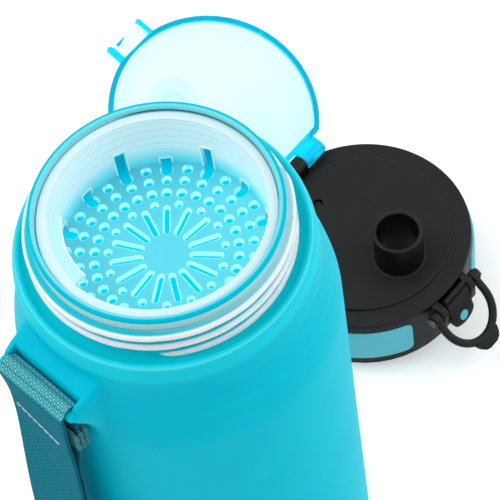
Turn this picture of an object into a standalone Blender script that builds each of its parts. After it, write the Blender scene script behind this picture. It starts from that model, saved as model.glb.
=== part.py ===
"""Sports water bottle with its screw lid taken off and laid beside it.

Metres, +Z up. The origin is the centre of the bottle's base. The strap lug is on the
-X side. The lid lies on the same surface with its flip cover open and its lock ring down.
"""

import math

import bmesh
import bpy
from mathutils import Matrix, Vector

MM = 0.001

# Bottle body
rim_height = 225.0 * MM
body_radius = 40.0 * MM
body_wall = 2.4 * MM
floor_thickness = 3.6 * MM
base_corner = 5.0 * MM
base_ring_width = 9.0 * MM
base_recess = 0.8 * MM
mouth_radius = 28.3 * MM
neck_radius = 30.0 * MM
rim_rounding = 0.5 * MM
ledge_drop = 12.2 * MM
ledge_radius = 35.3 * MM
ledge_rounding = 0.9 * MM
ledge_thickness = 2.2 * MM
shoulder_drop = 43.0 * MM
seat_lip = 1.1 * MM
seat_lip_height = 0.3 * MM
# Pairs along the shoulder: share of its height, share of its growth in radius
shoulder_shares = (
    (0.13, 0.17), (0.26, 0.24), (0.42, 0.35), (0.58, 0.54), (0.74, 0.78), (0.90, 0.95),
)

# Strap lug: a rounded boss with a slot, crossed by a round bar
lug_bar_radius = 1.5 * MM
lug_bar_standoff = 3.4 * MM
lug_bar_reach = body_radius + lug_bar_standoff
lug_bar_drop = 25.5 * MM
lug_gap = 23.2 * MM
lug_cheek = 1.8 * MM
lug_rounding = 3.2 * MM
lug_rise = 3.2 * MM
lug_nose = 1.8 * MM
lug_root_depth = 12.0 * MM
lug_height = 17.5 * MM
lug_slot_depth = 5.2 * MM
lug_slot_slope = 2.4 * MM
# Pairs round the nose: share of the nose length, share of the rise above the bar
lug_nose_shares = ((0.0, 1.0), (0.62, 0.80), (0.95, 0.36), (1.0, -0.15), (0.80, -0.85))

# Wrist strap of flat webbing
strap_width = 21.4 * MM
strap_thickness = 1.3 * MM
strap_fit = 0.3 * MM
strap_side_gap = 1.9 * MM
strap_eye_length = 9.0 * MM
strap_hem_length = 9.0 * MM
strap_length = 147.0 * MM
strap_front_gap = 4.6 * MM
strap_ply_gap = 0.5 * MM
strap_swell = 7.1 * MM
strap_loop_gap = 8.5 * MM
strap_twist = 0.75 * MM
# Down the loop: share of its length below the hem, of the swell, of the twist, of the loop's gap
strap_loop_shares = (
    (0.05, 0.0, 0.75, 0.0), (0.11, 0.03, 0.35, 0.0), (0.18, 0.13, 0.0, 0.0), (0.25, 0.28, 0.0, 0.03),
    (0.345, 0.45, 0.0, 0.14), (0.50, 0.70, 0.0, 0.42), (0.68, 0.92, 0.0, 0.80),
    (0.82, 1.0, 0.0, 1.0), (0.92, 0.93, 0.0, 0.92), (0.98, 0.70, 0.0, 0.52),
)
strap_bottom_share = 0.30

# Strainer
strainer_drop = 20.0 * MM
strainer_floor = 1.6 * MM
strainer_wall = 1.2 * MM
strainer_fit = 0.3 * MM
strainer_lip_height = 1.2 * MM
strainer_lip_drop = 12.5 * MM
strainer_corner = 0.9 * MM
strainer_flange_drop = 1.4 * MM
strainer_flange_thickness = 1.3 * MM
finger_tab_width = 3.6 * MM
finger_tab_drop = 0.8 * MM
finger_tab_thickness = 1.2 * MM
finger_tab_start = 132.0
finger_tab_end = 172.5
strainer_azimuth = 44.7
slot_count = 15
inner_slot_start = 5.7 * MM
inner_slot_end = 13.4 * MM
inner_slot_width = 1.3 * MM
outer_slot_start = 22.4 * MM
outer_slot_width = 2.7 * MM
outer_slot_rise = 2.6 * MM
tall_slot_rise = 8.7 * MM
hole_ring_1 = 14.0 * MM
hole_ring_2 = 17.2 * MM
hole_ring_3 = 20.8 * MM
hole_ring_4 = 24.1 * MM
hole_radius_1 = 0.8 * MM
hole_radius_2 = 1.05 * MM
hole_radius_3 = 1.0 * MM
hole_radius_4 = 1.1 * MM

# Lid: where it lies, and its shell
lid_x = 110.0 * MM
lid_y = 51.3 * MM
lid_turn = -86.2
deck_height = 27.0 * MM
deck_thickness = 2.0 * MM
deck_rounding = 0.5 * MM
ledge_height = 26.0 * MM
shell_radius = 35.0 * MM
deck_inset = 6.2 * MM
deck_radius = shell_radius - deck_inset
shell_wall = 1.4 * MM
shell_bottom = 3.4 * MM
shell_top_rounding = 0.6 * MM
shell_bottom_taper = 1.6 * MM
fit = 0.3 * MM

# Spout and vent
spout_radius = 7.9 * MM
spout_margin = 5.9 * MM
spout_offset = deck_radius - spout_radius - spout_margin
spout_bore = 6.6 * MM
spout_top = 41.5 * MM
spout_rounding = 0.5 * MM
spout_foot = 1.5 * MM
vent_margin = 10.5 * MM
vent_offset = deck_radius - vent_margin
vent_radius = 1.5 * MM
valve_stem_radius = 1.1 * MM
valve_stem_rise = 1.2 * MM
valve_disc_radius = 3.4 * MM
valve_disc_thickness = 0.8 * MM

# Threaded liner and gasket
liner_wall = 1.1 * MM
liner_flange_height = 13.6 * MM
liner_flange_thickness = 1.6 * MM
liner_chimney_inset = 8.5 * MM
liner_chimney_radius = shell_radius - liner_chimney_inset
liner_chimney_wall = 1.2 * MM
gasket_thickness = 1.4 * MM
gasket_width = 3.7 * MM

# Grip pads
grip_bottom = 7.2 * MM
grip_height = 14.9 * MM
grip_thickness = 0.9 * MM
grip_proud = 0.7 * MM
grip_corner = 2.6 * MM
grip_end_angle = 25.5

# Hinge of the cover
hinge_inset = 3.5 * MM
hinge_back = shell_radius - hinge_inset
hinge_height = 29.3 * MM
knuckle_radius = 2.9 * MM
knuckle_half_length = 8.0 * MM
knuckle_spring_half_gap = 3.2 * MM
ear_end = 17.0 * MM
ear_heel_angle = 245.0
pin_radius = 1.0 * MM
cover_open_angle = 159.5

# Flip cover
cover_inset = 0.1 * MM
cover_radius = shell_radius - cover_inset
cover_wall = 1.8 * MM
cover_lip_drop = 1.8 * MM
cover_straight = 1.6 * MM
cover_height = 20.8 * MM
cover_roundness = 2.8
catch_inset = 0.8 * MM
catch_chord = shell_radius - catch_inset
catch_standoff = 5.4 * MM
catch_reach = shell_radius + catch_standoff
catch_arm_half_span = 8.0 * MM
catch_arm_width = 2.0 * MM
catch_arm_height = 3.5 * MM
catch_web_thickness = 1.4 * MM
nib_thickness = 1.4 * MM
nib_depth = 2.6 * MM
nib_half_width = 4.4 * MM
plug_radius = 8.2 * MM
plug_disc = 1.6 * MM
plug_boss_radius = 6.1 * MM
plug_boss_taper = 0.5 * MM
plug_boss_depth = 1.9 * MM
plug_stem_radius = 2.5 * MM
plug_stem_height = 1.7 * MM
plug_collar_wall = 1.4 * MM

# Latch button
button_half_width = 5.0 * MM
button_travel = 1.2 * MM
button_bottom = 12.0 * MM
button_claw_top = 27.0 * MM
button_claw_depth = 1.0 * MM
button_step_height = 24.5 * MM
button_step_standoff = 3.2 * MM
button_step_reach = shell_radius + button_step_standoff
button_face_height = 15.7 * MM
button_face_standoff = 5.5 * MM
button_face_reach = shell_radius + button_face_standoff
button_upper_height = 20.0 * MM
button_upper_standoff = 4.25 * MM
button_upper_reach = shell_radius + button_upper_standoff
button_toe_drop = 3.0 * MM
button_rounding = 0.5 * MM
button_rail_length = 1.0 * MM
button_rail_size = 1.8 * MM
button_rail_depth = 0.9 * MM
button_rail_height = 17.2 * MM
button_spring_height = 19.0 * MM
button_spring_bore = 2.4 * MM
button_spring_bore_depth = 2.0 * MM
spring_post_radius = 1.2 * MM
spring_post_reach = 0.5 * MM
button_spring_radius = 1.8 * MM
button_spring_wire = 0.2 * MM
button_spring_turns = 3
inlay_radius = 1.8 * MM
inlay_depth = 0.9 * MM
inlay_proud = 0.2 * MM

# Cheeks that carry the lock ring
cheek_inner = 5.4 * MM
cheek_width = 2.8 * MM
cheek_top = 25.3 * MM
cheek_bottom = 13.9 * MM
cheek_standoff = 4.2 * MM
cheek_reach = shell_radius + cheek_standoff
cheek_root_depth = 2.0 * MM
cheek_root = shell_radius - cheek_root_depth
cheek_rounding = 0.6 * MM

# Lock ring
bail_pivot_standoff = 1.9 * MM
bail_pivot_reach = shell_radius + bail_pivot_standoff
bail_pivot_height = 22.7 * MM
bail_hang_angle = 43.9
bail_half_width = 9.87 * MM
bail_straight = 5.7 * MM
bail_length = 16.6 * MM
bail_wire_radius = 1.35 * MM
bail_eye_radius = 2.1 * MM
bail_eye_width = 2.7 * MM
bail_thumb_length = 3.9 * MM
bail_thumb_half_width = 4.3 * MM
bail_thumb_thickness = 2.2 * MM
# Pairs round the thumb tab: share of its length, share of its half width
bail_thumb_shares = (
    (0.10, 1.16), (0.55, 0.98), (0.86, 0.74), (1.0, 0.38),
    (1.0, -0.38), (0.86, -0.74), (0.55, -0.98), (0.10, -1.16),
)
bail_pin_head = 0.5 * MM
bail_pin_head_radius = 1.6 * MM

# Torsion spring of the hinge
torsion_radius = 1.75 * MM
torsion_wire = 0.28 * MM
torsion_turns = 5

overrun = 2.0 * MM
merge_distance = 0.01 * MM
round_steps = 48
small_steps = 24
hole_sides = 6
slot_sides = 6

FRESH_COLLECTION = "sports_water_bottle"
CUTTER_COLLECTION = "cutters"


def clear_scene():
    for obj in list(bpy.data.objects):
        bpy.data.objects.remove(obj, do_unlink=True)


def new_collection(name):
    collection = bpy.data.collections.new(name)
    bpy.context.scene.collection.children.link(collection)
    return collection


def material(name, colour, roughness, alpha=1.0):
    mat = bpy.data.materials.new(name)
    mat.use_nodes = True
    shader = mat.node_tree.nodes["Principled BSDF"]
    shader.inputs["Base Color"].default_value = (*colour, 1.0)
    shader.inputs["Roughness"].default_value = roughness
    shader.inputs["Alpha"].default_value = alpha
    return mat


def metal(name, colour, roughness):
    mat = material(name, colour, roughness)
    mat.node_tree.nodes["Principled BSDF"].inputs["Metallic"].default_value = 1.0
    return mat


def make_object(name, mesh, parent=None, matrix=None):
    obj = bpy.data.objects.new(name, mesh)
    part_collection.objects.link(obj)
    obj.parent = parent
    if matrix is not None:
        obj.matrix_local = matrix
    return obj


def as_cutter(obj):
    part_collection.objects.unlink(obj)
    cutter_collection.objects.link(obj)
    obj.hide_render = True
    obj.display_type = "WIRE"
    return obj


def combine(target, tool, operation):
    """Boolean modifier on the target; the tool becomes a hidden helper."""
    mod = target.modifiers.new(operation.lower() + "_" + tool.name, "BOOLEAN")
    mod.operation = operation
    mod.object = as_cutter(tool)
    return target


def empty(name, parent=None, location=(0, 0, 0), rotation=(0, 0, 0)):
    obj = bpy.data.objects.new(name, None)
    part_collection.objects.link(obj)
    obj.parent = parent
    obj.location = location
    obj.rotation_euler = rotation
    return obj


def turned(name, profile, parent=None, matrix=None, closed=False, steps=round_steps):
    """Solid of revolution about local Z. The profile runs down its outer side."""
    mesh = bpy.data.meshes.new(name)
    verts = [(r, 0.0, z) for r, z in profile]
    edges = [(i, i + 1) for i in range(len(verts) - 1)]
    if closed:
        edges.append((len(verts) - 1, 0))
    mesh.from_pydata(verts, edges, [])
    obj = make_object(name, mesh, parent, matrix)
    mod = obj.modifiers.new("turn", "SCREW")
    mod.axis = "Z"
    mod.steps = steps
    mod.render_steps = steps
    mod.use_merge_vertices = True
    mod.merge_threshold = merge_distance
    mod.use_smooth_shade = True
    return obj


def rod(name, radius, length, parent=None, matrix=None, sides=small_steps):
    """Cylinder along local Z, centred on its origin."""
    mesh = bpy.data.meshes.new(name)
    bm = bmesh.new()
    bmesh.ops.create_cone(bm, cap_ends=True, segments=sides, radius1=radius, radius2=radius, depth=length)
    bm.to_mesh(mesh)
    bm.free()
    return make_object(name, mesh, parent, matrix)


def box(name, low, high, parent=None, rounding=0.0):
    """Block between two corners in the parent's frame."""
    low, high = Vector(low), Vector(high)
    mesh = bpy.data.meshes.new(name)
    bm = bmesh.new()
    size = Matrix.Diagonal((*(high - low), 1.0))
    bmesh.ops.create_cube(bm, size=1.0, matrix=Matrix.Translation((low + high) / 2) @ size)
    bm.to_mesh(mesh)
    bm.free()
    obj = make_object(name, mesh, parent)
    if rounding:
        round_edges(obj, rounding)
    return obj


def round_edges(obj, width, segments=2):
    mod = obj.modifiers.new("rounding", "BEVEL")
    mod.width = width
    mod.segments = segments
    mod.limit_method = "ANGLE"
    mod.angle_limit = math.radians(35.0)
    return obj


def curve_to_mesh(curve_obj):
    """Swap a curve object for a mesh object with welded caps."""
    bpy.context.view_layer.update()
    graph = bpy.context.evaluated_depsgraph_get()
    mesh = bpy.data.meshes.new_from_object(curve_obj.evaluated_get(graph))
    bm = bmesh.new()
    bm.from_mesh(mesh)
    bmesh.ops.remove_doubles(bm, verts=bm.verts, dist=merge_distance)
    bm.to_mesh(mesh)
    bm.free()
    name, parent, matrix = curve_obj.name, curve_obj.parent, curve_obj.matrix_world.copy()
    bpy.data.objects.remove(curve_obj, do_unlink=True)
    obj = make_object(name, mesh, parent)
    obj.matrix_world = matrix
    return obj


def outline_solid(name, outline, thickness, parent=None, matrix=None):
    """Flat outline in local XY, thickened along local Z about the middle."""
    curve = bpy.data.curves.new(name, "CURVE")
    curve.dimensions = "2D"
    curve.fill_mode = "BOTH"
    curve.extrude = thickness / 2
    spline = curve.splines.new("POLY")
    spline.points.add(len(outline) - 1)
    for point, (x, y) in zip(spline.points, outline):
        point.co = (x, y, 0.0, 1.0)
    spline.use_cyclic_u = True
    return curve_to_mesh(make_object(name, curve, parent, matrix))


def wire(name, path, radius, parent=None, matrix=None, resolution=2):
    """Round wire along a list of points, with filled ends."""
    curve = bpy.data.curves.new(name, "CURVE")
    curve.dimensions = "3D"
    curve.bevel_depth = radius
    curve.bevel_resolution = resolution
    curve.use_fill_caps = True
    spline = curve.splines.new("POLY")
    spline.points.add(len(path) - 1)
    for point, place in zip(spline.points, path):
        point.co = (*place, 1.0)
    return curve_to_mesh(make_object(name, curve, parent, matrix))


def arc(centre_x, centre_y, radius, start, end, count):
    """Points on a circle from one angle to another, in degrees."""
    angles = [math.radians(start + (end - start) * i / count) for i in range(count + 1)]
    return [(centre_x + radius * math.cos(a), centre_y + radius * math.sin(a)) for a in angles]


def smooth_path(points, steps):
    """Catmull-Rom curve through the points."""
    result = []
    for i in range(len(points) - 1):
        before = points[max(i - 1, 0)]
        start, end = points[i], points[i + 1]
        after = points[min(i + 2, len(points) - 1)]
        for k in range(steps):
            t = k / steps
            result.append(tuple(
                0.5 * (2 * b + (c - a) * t + (2 * a - 5 * b + 4 * c - d) * t ** 2
                       + (3 * b - a - 3 * c + d) * t ** 3)
                for a, b, c, d in zip(before, start, end, after)
            ))
    result.append(tuple(points[-1]))
    return result


# Local Z along +Y of the parent, local X kept, local Y along the parent's Z
SIDEWAYS = Matrix(((1, 0, 0, 0), (0, 0, -1, 0), (0, 1, 0, 0), (0, 0, 0, 1)))
# Local Z along +X of the parent
FORWARD = Matrix(((0, 0, 1, 0), (1, 0, 0, 0), (0, 1, 0, 0), (0, 0, 0, 1)))


def at(x, y, z, turn=None):
    place = Matrix.Translation((x, y, z))
    return place @ turn if turn is not None else place


def make_bottle():
    ledge = rim_height - ledge_drop
    shoulder = [
        (ledge_radius + g * (body_radius - ledge_radius), ledge - h * (shoulder_drop - ledge_drop))
        for h, g in shoulder_shares
    ]
    shoulder_foot = rim_height - shoulder_drop
    outer = [
        (mouth_radius + rim_rounding, rim_height),
        (neck_radius - rim_rounding, rim_height),
        (neck_radius, rim_height - rim_rounding),
        (neck_radius, ledge),
        (ledge_radius - ledge_rounding, ledge),
        (ledge_radius, ledge - ledge_rounding),
        *shoulder,
        (body_radius, shoulder_foot),
    ]
    base = arc(body_radius - base_corner, base_corner, base_corner, 0, -90, 4)
    ring_inner = body_radius - base_corner - base_ring_width
    pad_radius = ring_inner - base_ring_width
    foot = [
        (ring_inner + base_recess, 0.0),
        (ring_inner, base_recess),
        (pad_radius, base_recess),
        (pad_radius - base_recess, 0.0),
        (0.0, 0.0),
    ]
    inside_radius = body_radius - body_wall
    inner_corner = base_corner - body_wall
    inside_floor = [(0.0, floor_thickness)]
    inside_floor += arc(
        inside_radius - inner_corner, floor_thickness + inner_corner, inner_corner, -90, 0, 2
    )
    under_ledge = ledge - ledge_thickness
    inside = [(inside_radius, shoulder_foot)]
    inside += [(r - body_wall, z - body_wall * g) for (r, z), (h, g) in zip(shoulder[:0:-2], shoulder_shares[:0:-2])]
    inside += [
        (ledge_radius - body_wall, under_ledge),
        (mouth_radius - seat_lip, under_ledge),
        (mouth_radius - seat_lip, under_ledge + seat_lip_height),
        (mouth_radius, under_ledge + 2 * seat_lip_height),
        (mouth_radius, rim_height - rim_rounding),
    ]
    body = turned("bottle_body", inside_floor + inside + outer + base + foot)
    body.data.materials.append(frosted)
    wall_line = [(ledge_radius, ledge), *shoulder, (body_radius, shoulder_foot)]
    combine(body, strap_lug(wall_line), "UNION")
    return body


def strap_lug(wall_line):
    """Rounded boss with a slot and a bar, cut off at the middle of the body's wall."""
    bar_z = rim_height - lug_bar_drop
    top = bar_z + lug_rise
    foot = top - lug_height
    root = body_radius - lug_root_depth
    outline = [(-root, top)]
    outline += [(-lug_bar_reach - n * lug_nose, bar_z + h * lug_rise) for n, h in lug_nose_shares]
    outline += [(-body_radius, foot), (-root, foot)]
    lug = outline_solid("strap_lug", outline, lug_gap + 2 * lug_cheek, None, SIDEWAYS)
    round_edges(lug, lug_rounding, segments=3)
    slot_wall = lug_bar_reach - lug_slot_depth
    far = lug_bar_reach + lug_nose + overrun
    slot_outline = [
        (-slot_wall, top + overrun),
        (-far, top + overrun),
        (-far, foot - overrun),
        (-slot_wall - lug_slot_slope, foot - overrun),
        (-slot_wall, bar_z),
    ]
    slot = outline_solid("lug_slot", slot_outline, lug_gap, None, SIDEWAYS)
    combine(lug, slot, "DIFFERENCE")
    bar = rod(
        "lug_bar", lug_bar_radius, lug_gap + lug_cheek, None,
        at(-lug_bar_reach, 0, bar_z, SIDEWAYS), sides=16,
    )
    combine(lug, bar, "UNION")
    core_line = [(r - body_wall / 2, z) for r, z in wall_line]
    core_line = [(0.0, core_line[0][1])] + core_line + [(0.0, core_line[-1][1])]
    return combine(lug, turned("wall_core", core_line), "DIFFERENCE")


def strap_layers():
    """Distances of the two layers' middle lines from the bottle's axis."""
    back_x = body_radius + strap_side_gap
    return back_x, back_x + strap_front_gap - strap_thickness


def strap_path():
    """Middle line of the webbing: distance from the axis, height, twist."""
    bar_x, bar_z = lug_bar_reach, rim_height - lug_bar_drop
    bend = lug_bar_radius + strap_fit + strap_thickness / 2
    hem_top = bar_z - strap_eye_length
    loop_top = hem_top - strap_hem_length
    loop = strap_length - strap_eye_length - strap_hem_length
    back_x, front_x = strap_layers()
    back_hem_x = back_x + strap_thickness / 2
    over_bar = [(x, z, 0.0) for x, z in arc(bar_x, bar_z, bend, 180, 0, 8)]
    start = [(back_hem_x, loop_top + strap_hem_length / 2, 0.0), (back_hem_x, hem_top, 0.0), over_bar[0]]
    ply = strap_thickness + strap_ply_gap
    front = [over_bar[-1], (front_x, hem_top, strap_twist), (front_x, loop_top, strap_twist)]
    front += [
        (front_x + s * strap_swell, loop_top - h * loop, t * strap_twist)
        for h, s, t, g in strap_loop_shares
    ]
    back = [
        (front_x + s * strap_swell - ply - g * strap_loop_gap, loop_top - h * loop, t * strap_twist)
        for h, s, t, g in reversed(strap_loop_shares)
    ]
    bottom = [(front_x + strap_bottom_share * strap_swell - ply / 2, loop_top - loop, 0.0)]
    end = [(back_hem_x, loop_top + strap_thickness, 0.0)]
    return smooth_path(start, 3)[:-1] + over_bar + smooth_path(front + bottom + back + end, 2)[1:]


def strap_hem():
    """Folded tail sewn in between the layers below the bar."""
    half = strap_width / 2
    top = rim_height - lug_bar_drop - strap_eye_length
    back_x, front_x = strap_layers()
    bm = bmesh.new()
    for z in (top, top - strap_hem_length):
        for side in (-1, 1):
            bm.verts.new((-back_x - strap_thickness / 2, side * half, z))
            bm.verts.new((-front_x + side * strap_twist, side * half, z))
    bmesh.ops.convex_hull(bm, input=bm.verts)
    mesh = bpy.data.meshes.new("strap_hem")
    bm.to_mesh(mesh)
    bm.free()
    return make_object("strap_hem", mesh)


def make_strap():
    half = strap_width / 2
    mesh = bpy.data.meshes.new("carry_strap")
    bm = bmesh.new()
    rows = [
        [bm.verts.new((-x + side * twist, side * half, z)) for side in (-1, 1)]
        for x, z, twist in strap_path()
    ]
    for first, second in zip(rows, rows[1:]):
        bm.faces.new((first[0], first[1], second[1], second[0]))
    bm.to_mesh(mesh)
    bm.free()
    pivot_place = (-lug_bar_reach, 0.0, rim_height - lug_bar_drop)
    pivot = empty("strap_pivot", None, pivot_place)
    strap = make_object("carry_strap", mesh, pivot, Matrix.Translation(-Vector(pivot_place)))
    thick = strap.modifiers.new("webbing", "SOLIDIFY")
    thick.thickness = strap_thickness
    thick.offset = 0.0
    thick.use_even_offset = True
    combine(strap, strap_hem(), "UNION")
    strap.data.materials.append(webbing)
    return strap


def add_slot(bm, length, width, depth, matrix):
    """Round-ended bar along local X: a cylinder pulled apart at the middle."""
    made = bmesh.ops.create_cone(
        bm, cap_ends=True, segments=slot_sides, radius1=width / 2, radius2=width / 2, depth=depth
    )["verts"]
    for vert in made:
        vert.co.x += math.copysign((length - width) / 2, vert.co.x)
    bmesh.ops.transform(bm, matrix=matrix, verts=made)


def strainer_holes(floor_top):
    mesh = bpy.data.meshes.new("strainer_holes")
    bm = bmesh.new()
    pitch = 360.0 / slot_count
    drill = strainer_floor + 2 * overrun
    middle = floor_top - strainer_floor / 2
    for i in range(slot_count):
        turn = Matrix.Rotation(math.radians(strainer_azimuth + pitch * i), 4, "Z")
        length = inner_slot_end - inner_slot_start
        place = at((inner_slot_start + inner_slot_end) / 2, 0, middle)
        add_slot(bm, length, inner_slot_width, drill, turn @ place)
        tall_slot = i % (slot_count // 3) in (1, slot_count // 3 - 1)
        rise = tall_slot_rise if tall_slot else outer_slot_rise
        reach = mouth_radius + overrun - outer_slot_start
        low = floor_top - strainer_floor - overrun
        tall = floor_top + rise - low
        place = at(outer_slot_start + reach / 2, 0, low + tall / 2)
        add_slot(bm, reach, outer_slot_width, tall, turn @ place)
    rings = (
        (hole_ring_1, hole_radius_1, slot_count, pitch / 2),
        (hole_ring_2, hole_radius_2, 2 * slot_count, 0.0),
        (hole_ring_3, hole_radius_3, 2 * slot_count, 0.0),
        (hole_ring_4, hole_radius_4, slot_count, pitch / 2),
    )
    for ring_radius, hole_radius, count, offset in rings:
        for i in range(count):
            turn = Matrix.Rotation(math.radians(strainer_azimuth + offset + 360.0 * i / count), 4, "Z")
            bmesh.ops.create_cone(
                bm, cap_ends=True, segments=hole_sides, radius1=hole_radius, radius2=hole_radius,
                depth=drill, matrix=turn @ at(ring_radius, 0, middle),
            )
    bm.to_mesh(mesh)
    bm.free()
    return make_object("strainer_holes", mesh)


def make_strainer():
    """Cup with a flange under the mouth's edge, a ring that sits on the seat, and a finger tab."""
    floor_top = rim_height - strainer_drop
    floor_bottom = floor_top - strainer_floor
    lip_radius = mouth_radius - strainer_fit
    wall_outer = mouth_radius - seat_lip - strainer_fit
    wall_inner = wall_outer - strainer_wall
    lip_top = rim_height - strainer_lip_drop
    lip_bottom = lip_top - strainer_lip_height
    flange_top = rim_height - strainer_flange_drop
    profile = [
        (0.0, floor_top),
        (wall_inner - strainer_corner, floor_top),
        (wall_inner, floor_top + strainer_corner),
        (wall_inner, flange_top - strainer_fit),
        (wall_inner + strainer_fit, flange_top),
        (lip_radius - strainer_fit, flange_top),
        (lip_radius, flange_top - strainer_fit),
        (lip_radius, flange_top - strainer_flange_thickness),
        (wall_outer, flange_top - strainer_flange_thickness - strainer_fit),
        (wall_outer, lip_top),
        (lip_radius, lip_top),
        (lip_radius, lip_bottom),
        (wall_outer, lip_bottom - strainer_fit),
        (wall_outer, floor_bottom + strainer_corner),
        (wall_outer - strainer_corner, floor_bottom),
        (0.0, floor_bottom),
    ]
    strainer = turned("strainer", profile, steps=3 * slot_count)
    reach = wall_inner - finger_tab_width
    root = wall_inner + strainer_wall / 2
    outline = arc(0, 0, reach, finger_tab_start, finger_tab_end, 8)
    outline += arc(0, 0, root, finger_tab_end, finger_tab_start, 8)
    middle = flange_top - finger_tab_drop - finger_tab_thickness / 2
    finger_tab = outline_solid("finger_tab", outline, finger_tab_thickness, None, at(0, 0, middle))
    combine(strainer, finger_tab, "UNION")
    combine(strainer, strainer_holes(floor_top), "DIFFERENCE")
    strainer.data.materials.append(strainer_plastic)
    return strainer


def make_lid_shell(lid):
    shell_inner = shell_radius - shell_wall
    under_deck = deck_height - deck_thickness
    under_ledge = ledge_height - deck_thickness
    step_radius = liner_chimney_radius + liner_chimney_wall + 2 * fit
    profile = [
        (0.0, deck_height),
        (deck_radius - deck_rounding, deck_height),
        (deck_radius, deck_height - deck_rounding),
        (deck_radius + deck_rounding, ledge_height),
        (shell_radius - 2 * shell_top_rounding, ledge_height),
        (shell_radius - shell_top_rounding / 2, ledge_height - shell_top_rounding),
        (shell_radius, ledge_height - 4 * shell_top_rounding),
        (shell_radius, shell_bottom + shell_bottom_taper),
        (shell_inner + fit, shell_bottom),
        (shell_inner, shell_bottom),
        (shell_inner, under_ledge),
        (step_radius, under_ledge),
        (step_radius, under_deck),
        (0.0, under_deck),
    ]
    shell = turned("lid_shell", profile, lid)
    add_spout(shell, lid)
    add_knuckles(shell, lid)
    add_latch_housing(shell, lid)
    for side in (-1, 1):
        recess = grip_surface("grip_recess_%s" % side_name(side), lid, side, fit, shell_radius - 2 * fit
                              + grip_proud - grip_thickness + fit / 2, grip_thickness + overrun)
        combine(shell, recess, "DIFFERENCE")
    vent = rod("vent_hole", vent_radius, deck_thickness + 2 * overrun, lid,
               at(-vent_offset, 0, deck_height - deck_thickness / 2), sides=16)
    combine(shell, vent, "DIFFERENCE")
    shell.data.materials.append(black_plastic)
    return shell


def side_name(side):
    return "left" if side > 0 else "right"


def add_spout(shell, lid):
    foot_z = deck_height - deck_thickness / 2
    profile = [
        (0.0, spout_top),
        (spout_radius - spout_rounding, spout_top),
        (spout_radius, spout_top - spout_rounding),
        (spout_radius, deck_height + spout_foot),
        (spout_radius + spout_foot / 3, deck_height + spout_foot / 3),
        (spout_radius + spout_foot, deck_height),
        (spout_radius + spout_foot, foot_z),
        (0.0, foot_z),
    ]
    spout = turned("spout_tube", profile, lid, at(spout_offset, 0, 0), steps=24)
    combine(shell, spout, "UNION")
    bore_bottom = deck_height - deck_thickness - overrun
    bore = turned("spout_bore", [
        (0.0, spout_top + overrun),
        (spout_bore + spout_rounding, spout_top + overrun),
        (spout_bore + spout_rounding, spout_top),
        (spout_bore, spout_top - spout_rounding),
        (spout_bore, bore_bottom),
        (0.0, bore_bottom),
    ], lid, at(spout_offset, 0, 0), steps=24)
    combine(shell, bore, "DIFFERENCE")


def add_knuckles(shell, lid):
    length = knuckle_half_length - knuckle_spring_half_gap
    for side in (-1, 1):
        outline = arc(-hinge_back, hinge_height, knuckle_radius, 0, 180, 10)
        outline += [
            (-hinge_back - knuckle_radius, ledge_height - fit),
            (-hinge_back + knuckle_radius, ledge_height - fit),
        ]
        middle = side * (knuckle_spring_half_gap + length / 2)
        knuckle = outline_solid(
            "knuckle_" + side_name(side), outline, length, lid, at(0, middle, 0, SIDEWAYS)
        )
        combine(shell, knuckle, "UNION")
    bore = rod("knuckle_bore", pin_radius + fit, 2 * (knuckle_half_length + overrun), lid,
               at(-hinge_back, 0, hinge_height, SIDEWAYS), sides=16)
    combine(shell, bore, "DIFFERENCE")


def add_latch_housing(shell, lid):
    """Two cheeks with pivot holes and slide grooves, and the post of the button's spring."""
    outline = [
        (cheek_root, cheek_bottom),
        (bail_pivot_reach + bail_wire_radius, cheek_bottom),
        (cheek_reach, cheek_bottom + bail_eye_radius),
        (cheek_reach, bail_pivot_height),
        (bail_pivot_reach + bail_wire_radius / 2, cheek_top),
        (cheek_root, cheek_top),
    ]
    for side in (-1, 1):
        middle = side * (cheek_inner + cheek_width / 2)
        cheek = outline_solid("cheek_" + side_name(side), outline, cheek_width, lid, at(0, middle, 0, SIDEWAYS))
        round_edges(cheek, cheek_rounding)
        combine(shell, cheek, "UNION")
    holes = rod("bail_pin_holes", pin_radius + fit, 2 * (cheek_inner + cheek_width + overrun), lid,
                at(bail_pivot_reach, 0, bail_pivot_height, SIDEWAYS), sides=16)
    combine(shell, holes, "DIFFERENCE")
    rail_start = button_back() + fit
    reach = cheek_inner + button_rail_depth + fit
    groove = box(
        "rail_groove",
        (rail_start - button_travel - fit, -reach, button_rail_height - fit),
        (rail_start + button_rail_length + fit, reach, button_rail_height + button_rail_size + fit),
        lid,
    )
    combine(shell, groove, "DIFFERENCE")
    post_start = shell_radius - shell_wall / 2
    post_length = spring_post_reach + shell_wall / 2
    post = rod("spring_post", spring_post_radius, post_length, lid,
               at(post_start + post_length / 2, 0, button_spring_height, FORWARD), sides=12)
    combine(shell, post, "UNION")


def button_back():
    return shell_radius + button_travel + fit


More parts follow.
